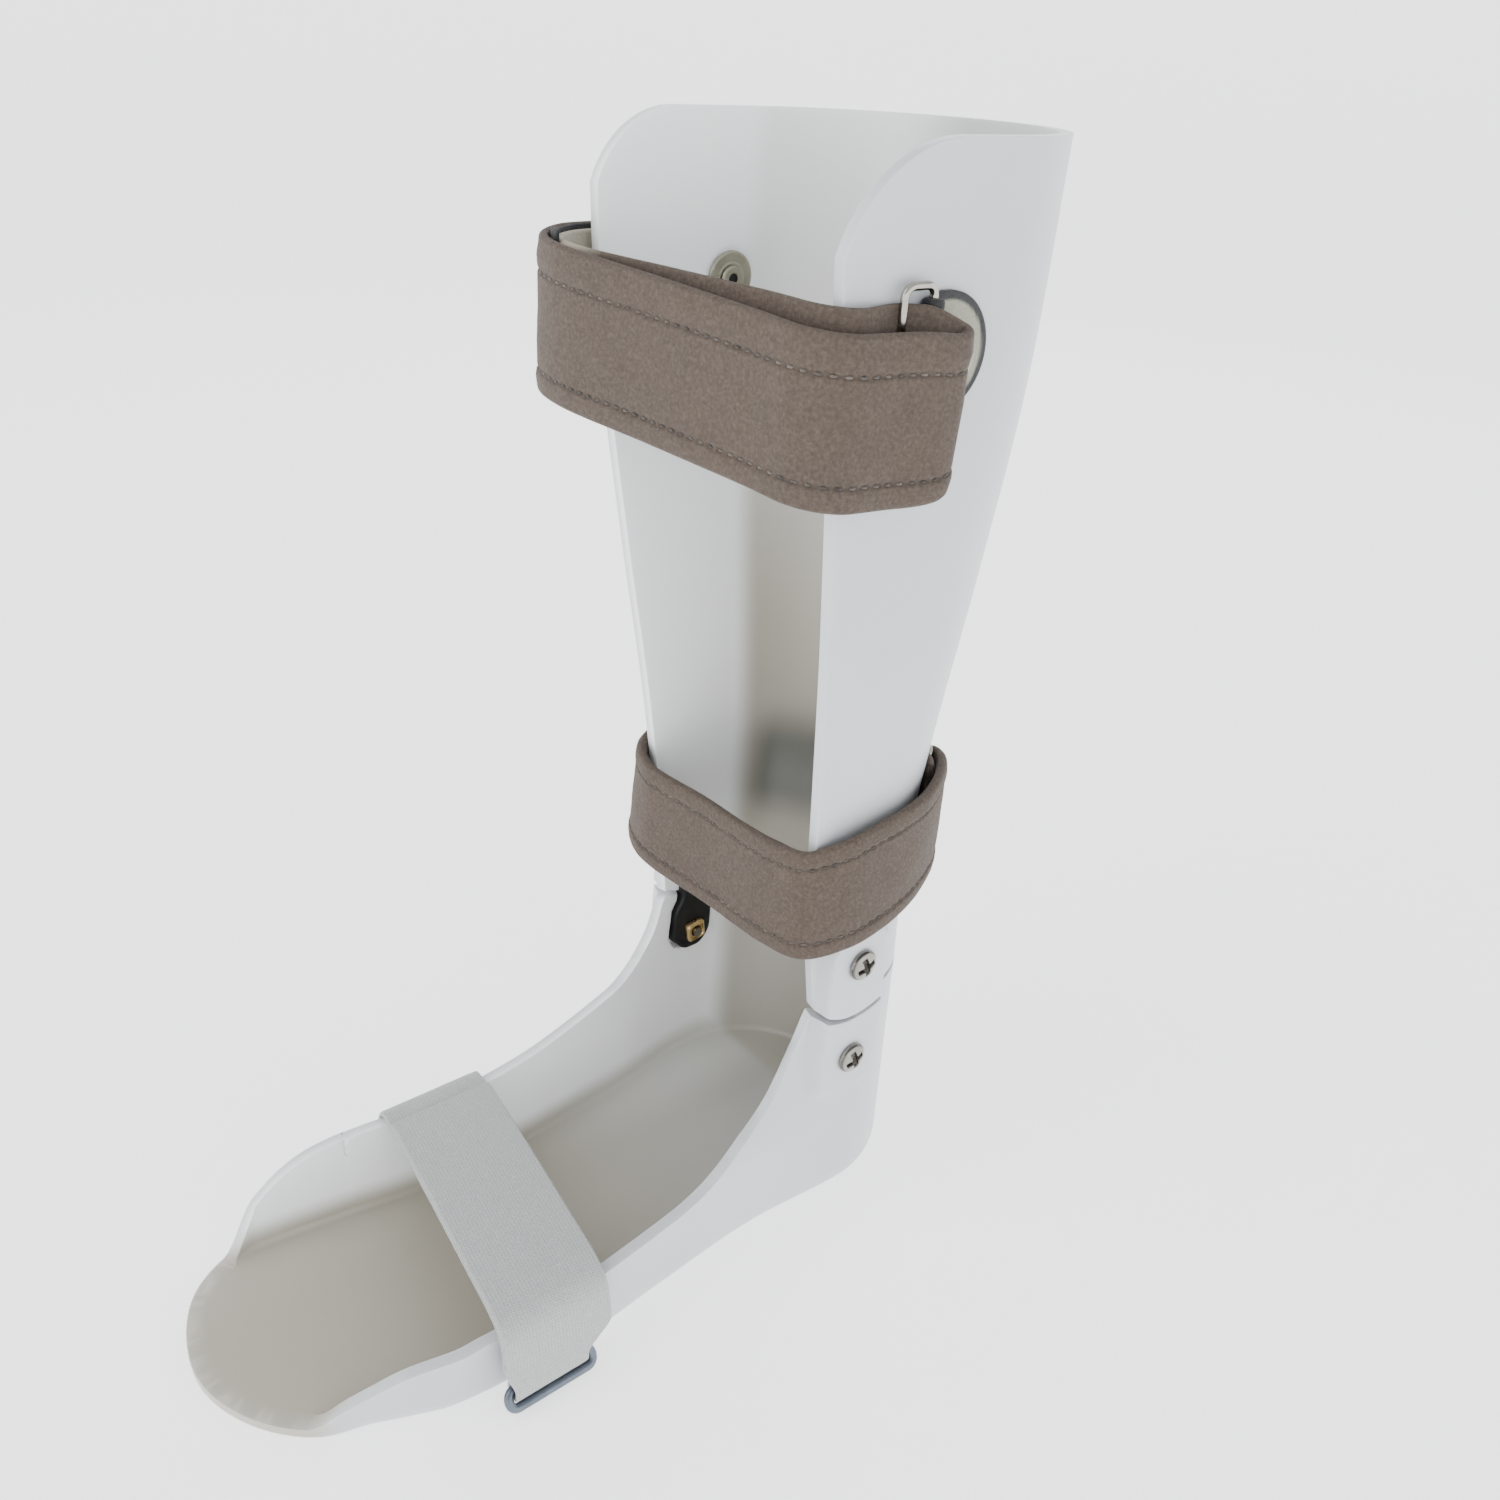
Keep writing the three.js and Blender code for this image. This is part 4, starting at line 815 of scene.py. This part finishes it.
def calf_strap():
    """The inner layer, its fold through the ring and the outer layer, then the hook strip between them."""
    outer = spline(CALF_PLAN, 0.8)
    ahead = unit(np.gradient(outer, axis=0))
    outward = np.stack([ahead[:, 1], -ahead[:, 0]], axis=1)
    share = np.linspace(0, 1, len(outer))
    slack = 1.3 * smoothstep(share, 0.5, 0.73) * (1 - smoothstep(share, 0.79, 0.87))
    inner = outer - outward * (4.4 + slack)[:, None]
    before_ring = (inner[:, 0] < 0) | (inner[:, 1] < -34)
    before_ring &= np.arange(len(inner)) < np.argmax((outer[:, 0] > 20) & (outer[:, 1] > -36))
    fold = [(57.2, -28.5), (57.2, -24.6), (59.4, -19.3), (62.3, -14.4), (63.9, -10.6), (66.1, -8.6),
            (68.1, -10.8), (68.1, -15.2), (66.5, -22), (64.7, -29)]
    back = outer[::-1]
    back = back[np.argmax(back[:, 1] < -37):-10]
    controls = np.vstack([inner[before_ring][::7], fold, back[::7]])
    plan = spline(controls, 0.75)
    travel = travelled(plan)
    apex = travel[np.argmin(np.linalg.norm(plan - fold[5], axis=1))]
    near_turn = np.exp(-((travel - apex) / 9.0) ** 2)
    outside = smoothstep(travel, apex - 14, apex)
    height = CALF_HEIGHT - 3 * (1 - outside) - 3 * near_turn
    outer_z, inner_z = calf_centre_z(plan[:, 0]), calf_centre_z(plan[:, 0], CALF_TOP["lateral_inner"])
    line = np.column_stack([plan, inner_z + (outer_z - inner_z) * smoothstep(travel, apex - 12, apex + 7)])
    band = level_band(line, height, 2.2 + 1.0 * outside)
    band.up = unit(band.up + np.array([0, 0.05, 0]) * near_turn[:, None])
    lining = (1 - outside) * smoothstep(-plan[:, 0], 22, 40)
    piece = band_piece("calf_strap", band, PADDING, "calf_section", grooves=CALF_GROOVES, crown=0.25,
                       uneven=0.22, pale=lining)
    stand_in(piece, "pad", "calf_strap_outer", "calf_strap_inner")
    threads = stitch_piece("calf_strap_stitches", band, CALF_GROOVES, "calf_section")

    patch_line = (outer - outward * 2.6)[int(len(outer) * 0.235):int(len(outer) * 0.42)]
    lift = 0.2 + 2.2 * smoothstep(patch_line[:, 0], -58, -50)
    patch_line = np.column_stack([patch_line, calf_centre_z(patch_line[:, 0]) + lift])
    patch = band_piece("calf_hook_strip", level_band(patch_line, 46.6, 1.15), BLACK_WEB, "calf_section",
                       uneven=0.05, crown=0.0)
    stand_in(patch, "black_webbing", "calf_hook_patch")


def ankle_strap():
    """The strap from its anchor behind the heel, round the front and through its ring."""
    tail = [(37.4, 42.9, 144.2), (33.6, 45.8, 144.6), (30.4, 46.6, 144.8), (28.1, 45.1, 144.8),
            (28.3, 42.2, 144.8), (30.8, 41.2, 144.8), (34.2, 39.7, 144.6), (37.8, 36.7, 144.2)]
    step = 0.75
    line = spline(ANKLE_PATH + tail, step)
    outward = outward_of(unit(np.gradient(line, axis=0) * (1, 1, 0)))
    lean = 4.0 * np.abs(outward[:, 0]) * smoothstep(-line[:, 1], -28, 0)
    up = unit(np.array([0, 0, ANKLE_HEIGHT]) - outward * lean[:, None])
    middle = line - outward * (lean / 2)[:, None]
    outward = np.cross(outward_of(-outward), up)
    turn = np.argmin(np.linalg.norm(line[:, :2] - tail[3][:2], axis=1)) * step
    thin = smoothstep(np.arange(len(line)) * step, turn - 16, turn - 4)
    band = Band(middle, outward, up, ANKLE_HEIGHT - 1.2 * thin, PAD - 0.7 * thin)
    piece = band_piece("ankle_padded_strap", band, PADDING, "calf_section", grooves=ANKLE_GROOVES,
                       crown=0.25, uneven=0.2)
    stand_in(piece, "pad", "ankle_strap")
    threads = stitch_piece("ankle_strap_stitches", band, ANKLE_GROOVES, "calf_section",
                           clear=(turn - 9, turn + 9))


def foot_strap():
    """The webbing's lower layer, its fold round the loop's bar and its upper layer, in the (x, z) plane."""
    lower = spline(FOOT_PATH, 0.6)
    ahead = unit(np.gradient(lower, axis=0))
    outward = np.stack([-ahead[:, 1], ahead[:, 0]], axis=1)
    turn = np.radians(np.linspace(200, 350, 9))
    fold = FOOT_BAR[[0, 2]] + 2.9 * np.stack([np.cos(turn), np.sin(turn)], axis=1)
    upper = (lower + outward * 1.9)[::-1]
    share = np.linspace(1, 0, len(upper))
    upper = upper[(share < 0.87) & (share > 0.24)]
    controls = np.vstack([lower[:-4:6], fold, [(61.1, 9.4), (60.4, 13.0)], upper[::6]])
    line = spline(controls, 0.6)
    ahead = unit(np.gradient(line, axis=0))
    outward = np.stack([-ahead[:, 1], 0 * ahead[:, 0], ahead[:, 0]], axis=1)
    taper = np.where(line[:, 0] > 0, 1 - smoothstep(line[:, 1], 9.5, 18), 0)
    y = -116 - 8 * np.clip((line[:, 0] + 42) / 100.3, 0, 1.05) - 3.5 * taper
    middle = np.stack([line[:, 0], y, line[:, 1]], axis=1)
    band = Band(middle, outward, np.tile([0.0, 1, 0], (len(line), 1)), 38 - 11.8 * taper, 1.5)
    piece = band_piece("foot_strap_webbing", band, WEBBING, "foot_section", crown=0.0, uneven=0.10, step=1.2)
    stand_in(piece, "webbing", "foot_strap_lower", "foot_strap_upper")


# ---------------------------------------------------------------- hardware
def basis(direction):
    """Two directions across an axis."""
    axis = unit(np.array(direction, float))
    first = np.cross(axis, (0, 0, 1.0) if abs(axis[2]) < 0.9 else (1.0, 0, 0))
    first = unit(first)
    return axis, first, np.cross(axis, first)


def turned(name, profile, point, direction, material, body, segments=48, squareness=None, turn=0.0):
    """A body turned on an axis through a point; profile rows are radius and distance along the direction.
    squareness, from 0 to 1 for each row, makes that row's outline a rounded square."""
    axis, first, second = basis(direction)
    angle = circle(segments)
    rings = []
    for row, (radius, along_axis) in enumerate(profile):
        power = 2 + 5 * (squareness[row] if squareness else 0)
        shape = (np.abs(np.cos(angle)) ** power + np.abs(np.sin(angle)) ** power) ** (-1 / power)
        u, v = radius * shape * np.cos(angle), radius * shape * np.sin(angle)
        c, s = math.cos(turn), math.sin(turn)
        rings.append(np.array(point) + axis * along_axis + np.outer(u * c - v * s, first)
                     + np.outer(u * s + v * c, second))
    closed = np.allclose(profile[0], profile[-1])
    points, faces = swept(rings[:-1] if closed else rings, closed)
    return make(name, points, faces, material, body, angle=50)


def rounded(profile, radius=0.25, steps=4):
    """Softens the corners of a turned profile."""
    p = [np.array(q, float) for q in profile]
    result = [tuple(p[0])]
    for before, corner, after in zip(p, p[1:], p[2:]):
        a, b = before - corner, after - corner
        reach = min(radius, np.linalg.norm(a) * 0.45, np.linalg.norm(b) * 0.45)
        start, end = corner + unit(a) * reach, corner + unit(b) * reach
        for t in np.linspace(0, 1, steps):
            result.append(tuple((1 - t) ** 2 * start + 2 * t * (1 - t) * corner + t**2 * end))
    return result + [tuple(p[-1])]


def rivet(name, point, direction, grip, body):
    profile = [(1.9, 0), (1.9, -grip - 1.8), (3.9, -grip - 1.8), (4.5, -grip - 0.9), (2.5, -grip - 0.9),
               (2.5, -0.9), (5, -0.9), (4.7, 0), (2.3, 0.0), (1.9, -0.5)]
    profile = rounded(profile, 0.3) + [profile[0]]
    piece = turned(name + "_metal", profile, point, direction, SATIN, body)
    stand_in(piece, "nickel", name)
    # a black filling in the hollow rivet stands in for the shade inside its bore
    bore_shade_profile = [(0.05, -grip - 1.2), (1.88, -grip - 1.2), (1.88, -0.9), (0.05, -0.9)]
    dark = turned(name + "_bore_shade", bore_shade_profile, point, direction, RUBBER, body, segments=24)


def washer(name, point, direction, depth, body):
    face = -depth - 1.2
    profile = [(2.8, -depth), (2.8, face), (5.1, face), (5.5, face + 0.25), (8.2, face + 0.1),
               (9, face + 0.55), (9, -depth)]
    piece = turned(name + "_disc", rounded(profile) + [profile[0]], point, direction, SATIN, body, 64)
    stand_in(piece, "nickel", name)


def screw(name, side, z, body):
    """A domed screw with a cross recess, its shank and the tip that shows through the nut."""
    first, second = basis((side, 0, 0))[1:]
    angle = circle(96)
    tilt = math.radians(20)

    def dome(radius):
        return SCREW_SEAT + 0.8 + 2.2 * np.sqrt(np.maximum(1 - (radius / HEAD_RADIUS) ** 2, 0))

    def recess(a, b):
        """One arm of the cross, 1 where it is cut to its full depth."""
        return smoothstep(1.2 - np.abs(a), 0, 0.25) * smoothstep(3.9 - np.abs(b), 0, 0.5)

    rings = []
    shank = [(2.0, 36.0), (2.0, SCREW_SEAT), (5.0, SCREW_SEAT), (HEAD_RADIUS, SCREW_SEAT + 0.35)]
    radii = np.r_[np.linspace(0.05, 4.2, 28), np.linspace(4.4, HEAD_RADIUS, 8)]
    head = [(radius, None) for radius in radii[::-1]]
    for radius, x in shank + head:
        u, v = radius * np.cos(angle), radius * np.sin(angle)
        if x is None:
            a, b = u * math.cos(tilt) + v * math.sin(tilt), -u * math.sin(tilt) + v * math.cos(tilt)
            x = dome(radius) - np.maximum(recess(a, b), recess(b, a)) * (1.5 - 0.22 * radius)
        rings.append(np.stack([side * x + 0 * u, u * first[1] + v * second[1],
                               z + u * first[2] + v * second[2]], axis=1))
    points, faces = swept(rings)
    radial, out = np.hypot(points[:, 1], points[:, 2] - z), np.abs(points[:, 0])
    # painted shade in the cross recess and a band of it round the head's rim
    sunk = smoothstep(dome(radial) - out, 0.2, 0.7) * (radial < 4.2)
    rim = smoothstep(radial, 4.7, 5.3) * (1 - smoothstep(radial, 5.5, HEAD_RADIUS))
    dark = np.maximum(sunk, 0.75 * rim) * (out > SCREW_SEAT)
    piece = make(name + "_metal", points, faces, CHROME, body, tone=dark, angle=45)
    stand_in(piece, "nickel", name)


def nut(name, side, z, body):
    profile = [(4.0, 0), (4.0, 2.0), (3.4, 2.6), (3.0, 2.6), (2.75, 2.1), (2.35, 2.1), (2.3, 1.9), (2.3, 0)]
    square = [1, 1, 1, 0.9, 0.6, 0.1, 0, 0]
    piece = turned(name + "_brass", profile + profile[:1], (side * NUT_FACE, 0, z), (-side, 0, 0), BRASS,
                   body, 64, square + [1], turn=math.radians(8))
    stand_in(piece, "brass", name)


def flexure(name, side):
    """The black flexible joint: a flat body with two round pads, a slim waist and rounded edges."""
    z = ANKLE_Z + eased(90) * (JOINT["length"] / 2 - 0.02)
    half = joint_half_width(z)
    middle = JOINT["outer"] - JOINT["thickness"] / 2
    edge = 1.3
    rings = []
    for zz, w in zip(z, half):
        end = min(JOINT["length"] / 2 - abs(zz - ANKLE_Z), edge)
        t = JOINT["thickness"] / 2 - (edge - math.sqrt(max(edge**2 - (edge - end) ** 2, 0)))
        r = min(edge, w * 0.9, t * 0.9)
        corner = np.radians(np.linspace(0, 90, 6))
        ring = []
        for k, (sy, sx) in enumerate(((1, 1), (-1, 1), (-1, -1), (1, -1))):
            turn = corner if k % 2 == 0 else corner[::-1]
            for c in turn:
                x = side * (middle + sx * (t - r + r * math.sin(c)))
                ring.append((x, sy * (w - r + r * math.cos(c)), zz))
        rings.append(ring)
    points, faces = swept(rings)
    piece = make(name + "_body", points, faces, RUBBER, angle=60)
    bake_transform(piece)
    stand_in(piece, "joint_rubber", name)


def wire_loop(name, width, height, corner, wire, centre, turn_axis, turn, shift, material, body):
    """A closed wire loop in the (y, z) plane, moved by shift, turned about an axis and placed."""
    outline = []
    y, z = width / 2 - corner, height / 2 - corner
    for sy, sz, start in ((1, -1, -90), (1, 1, 0), (-1, 1, 90), (-1, -1, 180)):
        for step in np.radians(start + np.linspace(0, 90, 9)):
            outline.append((sy * y + corner * math.cos(step), sz * z + corner * math.sin(step)))
    outline = np.array(outline)
    outline = resample(np.vstack([outline, outline[:1]]), 1.0)[:-1]
    ahead = unit(np.roll(outline, -1, axis=0) - np.roll(outline, 1, axis=0))
    angle = circle(20)
    rings = []
    for (y, z), (ty, tz) in zip(outline, ahead):
        out = wire * np.cos(angle)
        rings.append(np.stack([wire * np.sin(angle), y + tz * out, z - ty * out], axis=1))
    rings = np.array(rings) + np.array(shift)
    c, s = math.cos(turn), math.sin(turn)
    matrix = {"z": [[c, -s, 0], [s, c, 0], [0, 0, 1]], "y": [[c, 0, s], [0, 1, 0], [-s, 0, c]]}[turn_axis]
    rings = rings @ np.array(matrix).T + np.array(centre)
    points, faces = swept(rings, closed=True)
    return make(name, points, faces, material, body)


def on_lateral_wall(y, z, lift):
    """A point above the calf section's lateral outside, at a side view position."""
    leg = leg_at(z)
    behind = (y - leg["centre"]) / (leg["back"] - leg["centre"])
    x = np.where(y < leg["centre"], leg_side(leg, y), leg["half"] * np.sqrt(np.clip(1 - behind**2, 0, 1)))
    return np.stack([x + lift, y + 0 * z, z + 0 * y], axis=-1)


def plate(name, outline_at, levels, place, thickness, material, body, tone=None, columns=26):
    """A thin tab on a shell, between two outlines given for each level, with softened edges."""
    low, high = outline_at(levels)
    share = (1 - np.cos(np.linspace(0, math.pi, columns))) / 2
    across = low[:, None] + (high - low)[:, None] * share[None]
    level = np.broadcast_to(levels[:, None], across.shape)
    rim = np.minimum(np.minimum(across - low[:, None], high[:, None] - across),
                     np.minimum(level - levels[0], levels[-1] - level))
    soft = 0.45 * (1 - np.sqrt(np.clip(1 - (1 - np.clip(rim / 0.8, 0, 1)) ** 2, 0, 1)))
    top = place(across, level, TAB_LIFT + thickness - soft)
    under = place(across, level, np.full(across.shape, TAB_LIFT))
    loop = np.concatenate([top, under[:, ::-1]], axis=1)
    uv = np.stack([loop[..., 1] + loop[..., 0], loop[..., 2]], axis=-1).reshape(-1, 2)
    return make(name, loop.reshape(-1, 3), skin_faces(*loop.shape[:2]), material, body, uv=uv, angle=55,
                tone=tone(loop).ravel() if tone else None)


def sleeve(name, profile, softness, bar):
    """The roll of a tab's binding round its ring's bar."""
    roll = turned(name, rounded(profile, softness), bar, (0, 0, 1), BLACK_WEB, "calf_section", 40)


def calf_tab():
    y, height = TAB_CENTRE
    levels = height + eased(60) * (TAB_REACH - 0.04)

    def outline(z):
        reach = y + np.sqrt(np.maximum(TAB_REACH**2 - (z - height) ** 2, 0.01))
        front = np.maximum(np.abs(z - height) - 15, 0) ** 2 * 1.3 - 13.4
        return front, np.maximum(reach, front + 0.4)

    def edge_tone(p):
        return smoothstep(np.hypot(p[..., 1] - y, p[..., 2] - height), 14.2, 15.0)

    piece = plate("calf_tab_leather", outline, levels, on_lateral_wall, 1.7, TAB_FACE, "calf_section",
                  edge_tone)
    stand_in(piece, "black_webbing", "calf_tab")
    roll = [(0.05, -11), (2.6, -11), (3.0, -10.3), (3.0, 23.2), (2.6, 24), (0.05, 24)]
    sleeve("calf_tab_sleeve", roll, 0.4, CALF_BAR)


def ankle_tab():
    levels = ANKLE_BAR[2] + eased(46) * 15.46

    def outline(z):
        bend = np.maximum(np.abs(z - ANKLE_BAR[2]) - 6.5, 0)
        inset = 9 - np.sqrt(np.maximum(81 - bend**2, 0.01))
        return -2 + inset, 22 - inset * 0.6

    def place(x, z, lift):
        leg = leg_at(z)
        y = leg["centre"] + (leg["back"] - leg["centre"]) * np.sqrt(np.clip(1 - (x / leg["half"]) ** 2, 0, 1))
        return np.stack([x + 0.30 * lift * x / 40, y + lift, z], axis=-1)

    piece = plate("ankle_tab_webbing", outline, levels, place, 1.5, BLACK_WEB, "calf_section")
    stand_in(piece, "black_webbing", "ankle_tab")
    roll = [(0.05, -12), (2.2, -12), (2.5, -11.5), (2.5, 11.5), (2.2, 12), (0.05, 12)]
    sleeve("ankle_tab_sleeve", roll, 0.3, ANKLE_BAR)


def foot_tab():
    levels = 16.5 + eased(34) * 7.46

    def outline(z):
        bend = np.maximum(np.abs(z - 16.5) - 3.5, 0)
        inset = 4 - np.sqrt(np.maximum(16 - bend**2, 0.01))
        return -135 + inset, -113 - inset

    def place(y, z, lift):
        return np.stack([foot_wall(1, y, z) + lift, y, z], axis=-1)

    piece = plate("foot_tab_webbing", outline, levels, place, 1.1, WEBBING, "foot_section")
    stand_in(piece, "webbing", "foot_tab")


def hardware():
    for name, side in (("lateral", 1), ("medial", -1)):
        flexure("flexure_joint_" + name, side)
        for place, z in (("foot", ANKLE_Z - JOINT["screw"]), ("calf", ANKLE_Z + JOINT["screw"])):
            screw(f"{place}_screw_{name}", side, z, place + "_section")
            nut(f"{place}_nut_{name}", side, z, place + "_section")
    for name, point, direction, depth, body in FIXINGS:
        washer(name.format("washer"), point, direction, depth, body)
        rivet(name.format("rivet"), point, direction, depth + 0.6, body)
    for name, width, height, bar, turn in (("calf", 11, 55, CALF_BAR, 0), ("ankle", 10.5, 43, ANKLE_BAR, 57)):
        ring = wire_loop(name + "_ring_wire", width, height, 3, 1.2, bar, "z", math.radians(turn),
                         (0, -width / 2, 0), NICKEL, name + "_ring_body")
        stand_in(ring, "ring_nickel", name + "_ring")
    inward, down = 3.1, 4.5
    depth = math.hypot(down, inward)
    loop = wire_loop("foot_loop_wire", 30, depth, 2.5, 1.5, FOOT_BAR, "y", -math.atan2(inward, down),
                     (0, 0, -depth / 2), STEEL, "foot_loop_body")
    stand_in(loop, "loop_steel", "foot_loop")


calf_strap()
ankle_strap()
foot_strap()
calf_tab()
ankle_tab()
foot_tab()
hardware()


# ---------------------------------------------------------------- camera, floor and light
def photo_camera():
    azimuth, elevation, roll = (math.radians(CAMERA[key]) for key in ("azimuth", "elevation", "roll"))
    right = Vector((math.cos(azimuth), math.sin(azimuth), 0))
    up = Vector((-math.sin(azimuth) * math.sin(elevation), math.cos(azimuth) * math.sin(elevation),
                 math.cos(elevation)))
    back = right.cross(up)
    tilted_right = math.cos(roll) * right + math.sin(roll) * up
    tilted_up = -math.sin(roll) * right + math.cos(roll) * up
    data = bpy.data.cameras.new("photo_camera")
    camera = bpy.data.objects.new("photo_camera", data)
    bpy.context.scene.collection.objects.link(camera)
    matrix = camera.matrix_world.copy()
    for row in range(3):
        matrix[row][0], matrix[row][1], matrix[row][2] = tilted_right[row], tilted_up[row], back[row]
        matrix[row][3] = CAMERA["place"][row] * MM
    camera.matrix_world = matrix
    data.sensor_width = 36
    data.lens = CAMERA["focal"] / PICTURE * data.sensor_width
    data.shift_x = (PICTURE / 2 - CAMERA["centre"][0]) / PICTURE
    data.shift_y = -(PICTURE / 2 - CAMERA["centre"][1]) / PICTURE
    data.clip_start, data.clip_end = 0.01, 20
    bpy.context.scene.camera = camera


def lamp(name, place, target, size, power, colour=(1, 1, 1)):
    data = bpy.data.lights.new(name, "AREA")
    data.shape, data.size, data.energy, data.color = "DISK", size, power, colour
    light = bpy.data.objects.new(name, data)
    light.location = place
    light.rotation_euler = (Vector(place) - Vector(target)).to_track_quat("Z", "Y").to_euler()
    bpy.context.scene.collection.objects.link(light)


def studio():
    turn = circle(96)
    points = [(radius * math.cos(t) / MM, radius * math.sin(t) / MM, (CAD_BOX[0].z + height) / MM)
              for radius, height in STUDIO_BOWL for t in turn]
    faces = grid_faces(len(STUDIO_BOWL), len(turn)) + [tuple(range(len(turn)))]
    s = Shader("studio_paper", Specular_IOR_Level=0.2, Emission_Strength=FLOOR_GLOW)
    s.principled.inputs["Emission Color"].default_value = (1, 1, 1, 1)
    grain = s.noise(60, 3)
    paper = s.finish(s.ramp(grain, [(0.3, (0.90, 0.90, 0.90)), (0.7, (0.92, 0.92, 0.92))]),
                     s.ramp(grain, [(0.3, 0.85), (0.7, 0.95)]))
    floor = make("studio_floor", points, faces, paper)
    world = bpy.data.worlds.new("studio")
    world.use_nodes = True
    world.node_tree.nodes["Background"].inputs["Color"].default_value = (0.95, 0.97, 1.0, 1)
    world.node_tree.nodes["Background"].inputs["Strength"].default_value = SKY
    bpy.context.scene.world = world
    centre = (0, -0.06, 0.18)
    lamp("key", (-0.35, -1.25, 1.35), centre, 1.3, 11, (1.0, 0.985, 0.96))
    lamp("fill", (1.5, -0.1, 0.9), centre, 1.5, 3.3, (0.94, 0.97, 1.0))
    lamp("rear", (-0.7, 1.2, 1.2), centre, 1.2, 5)


photo_camera()
studio()
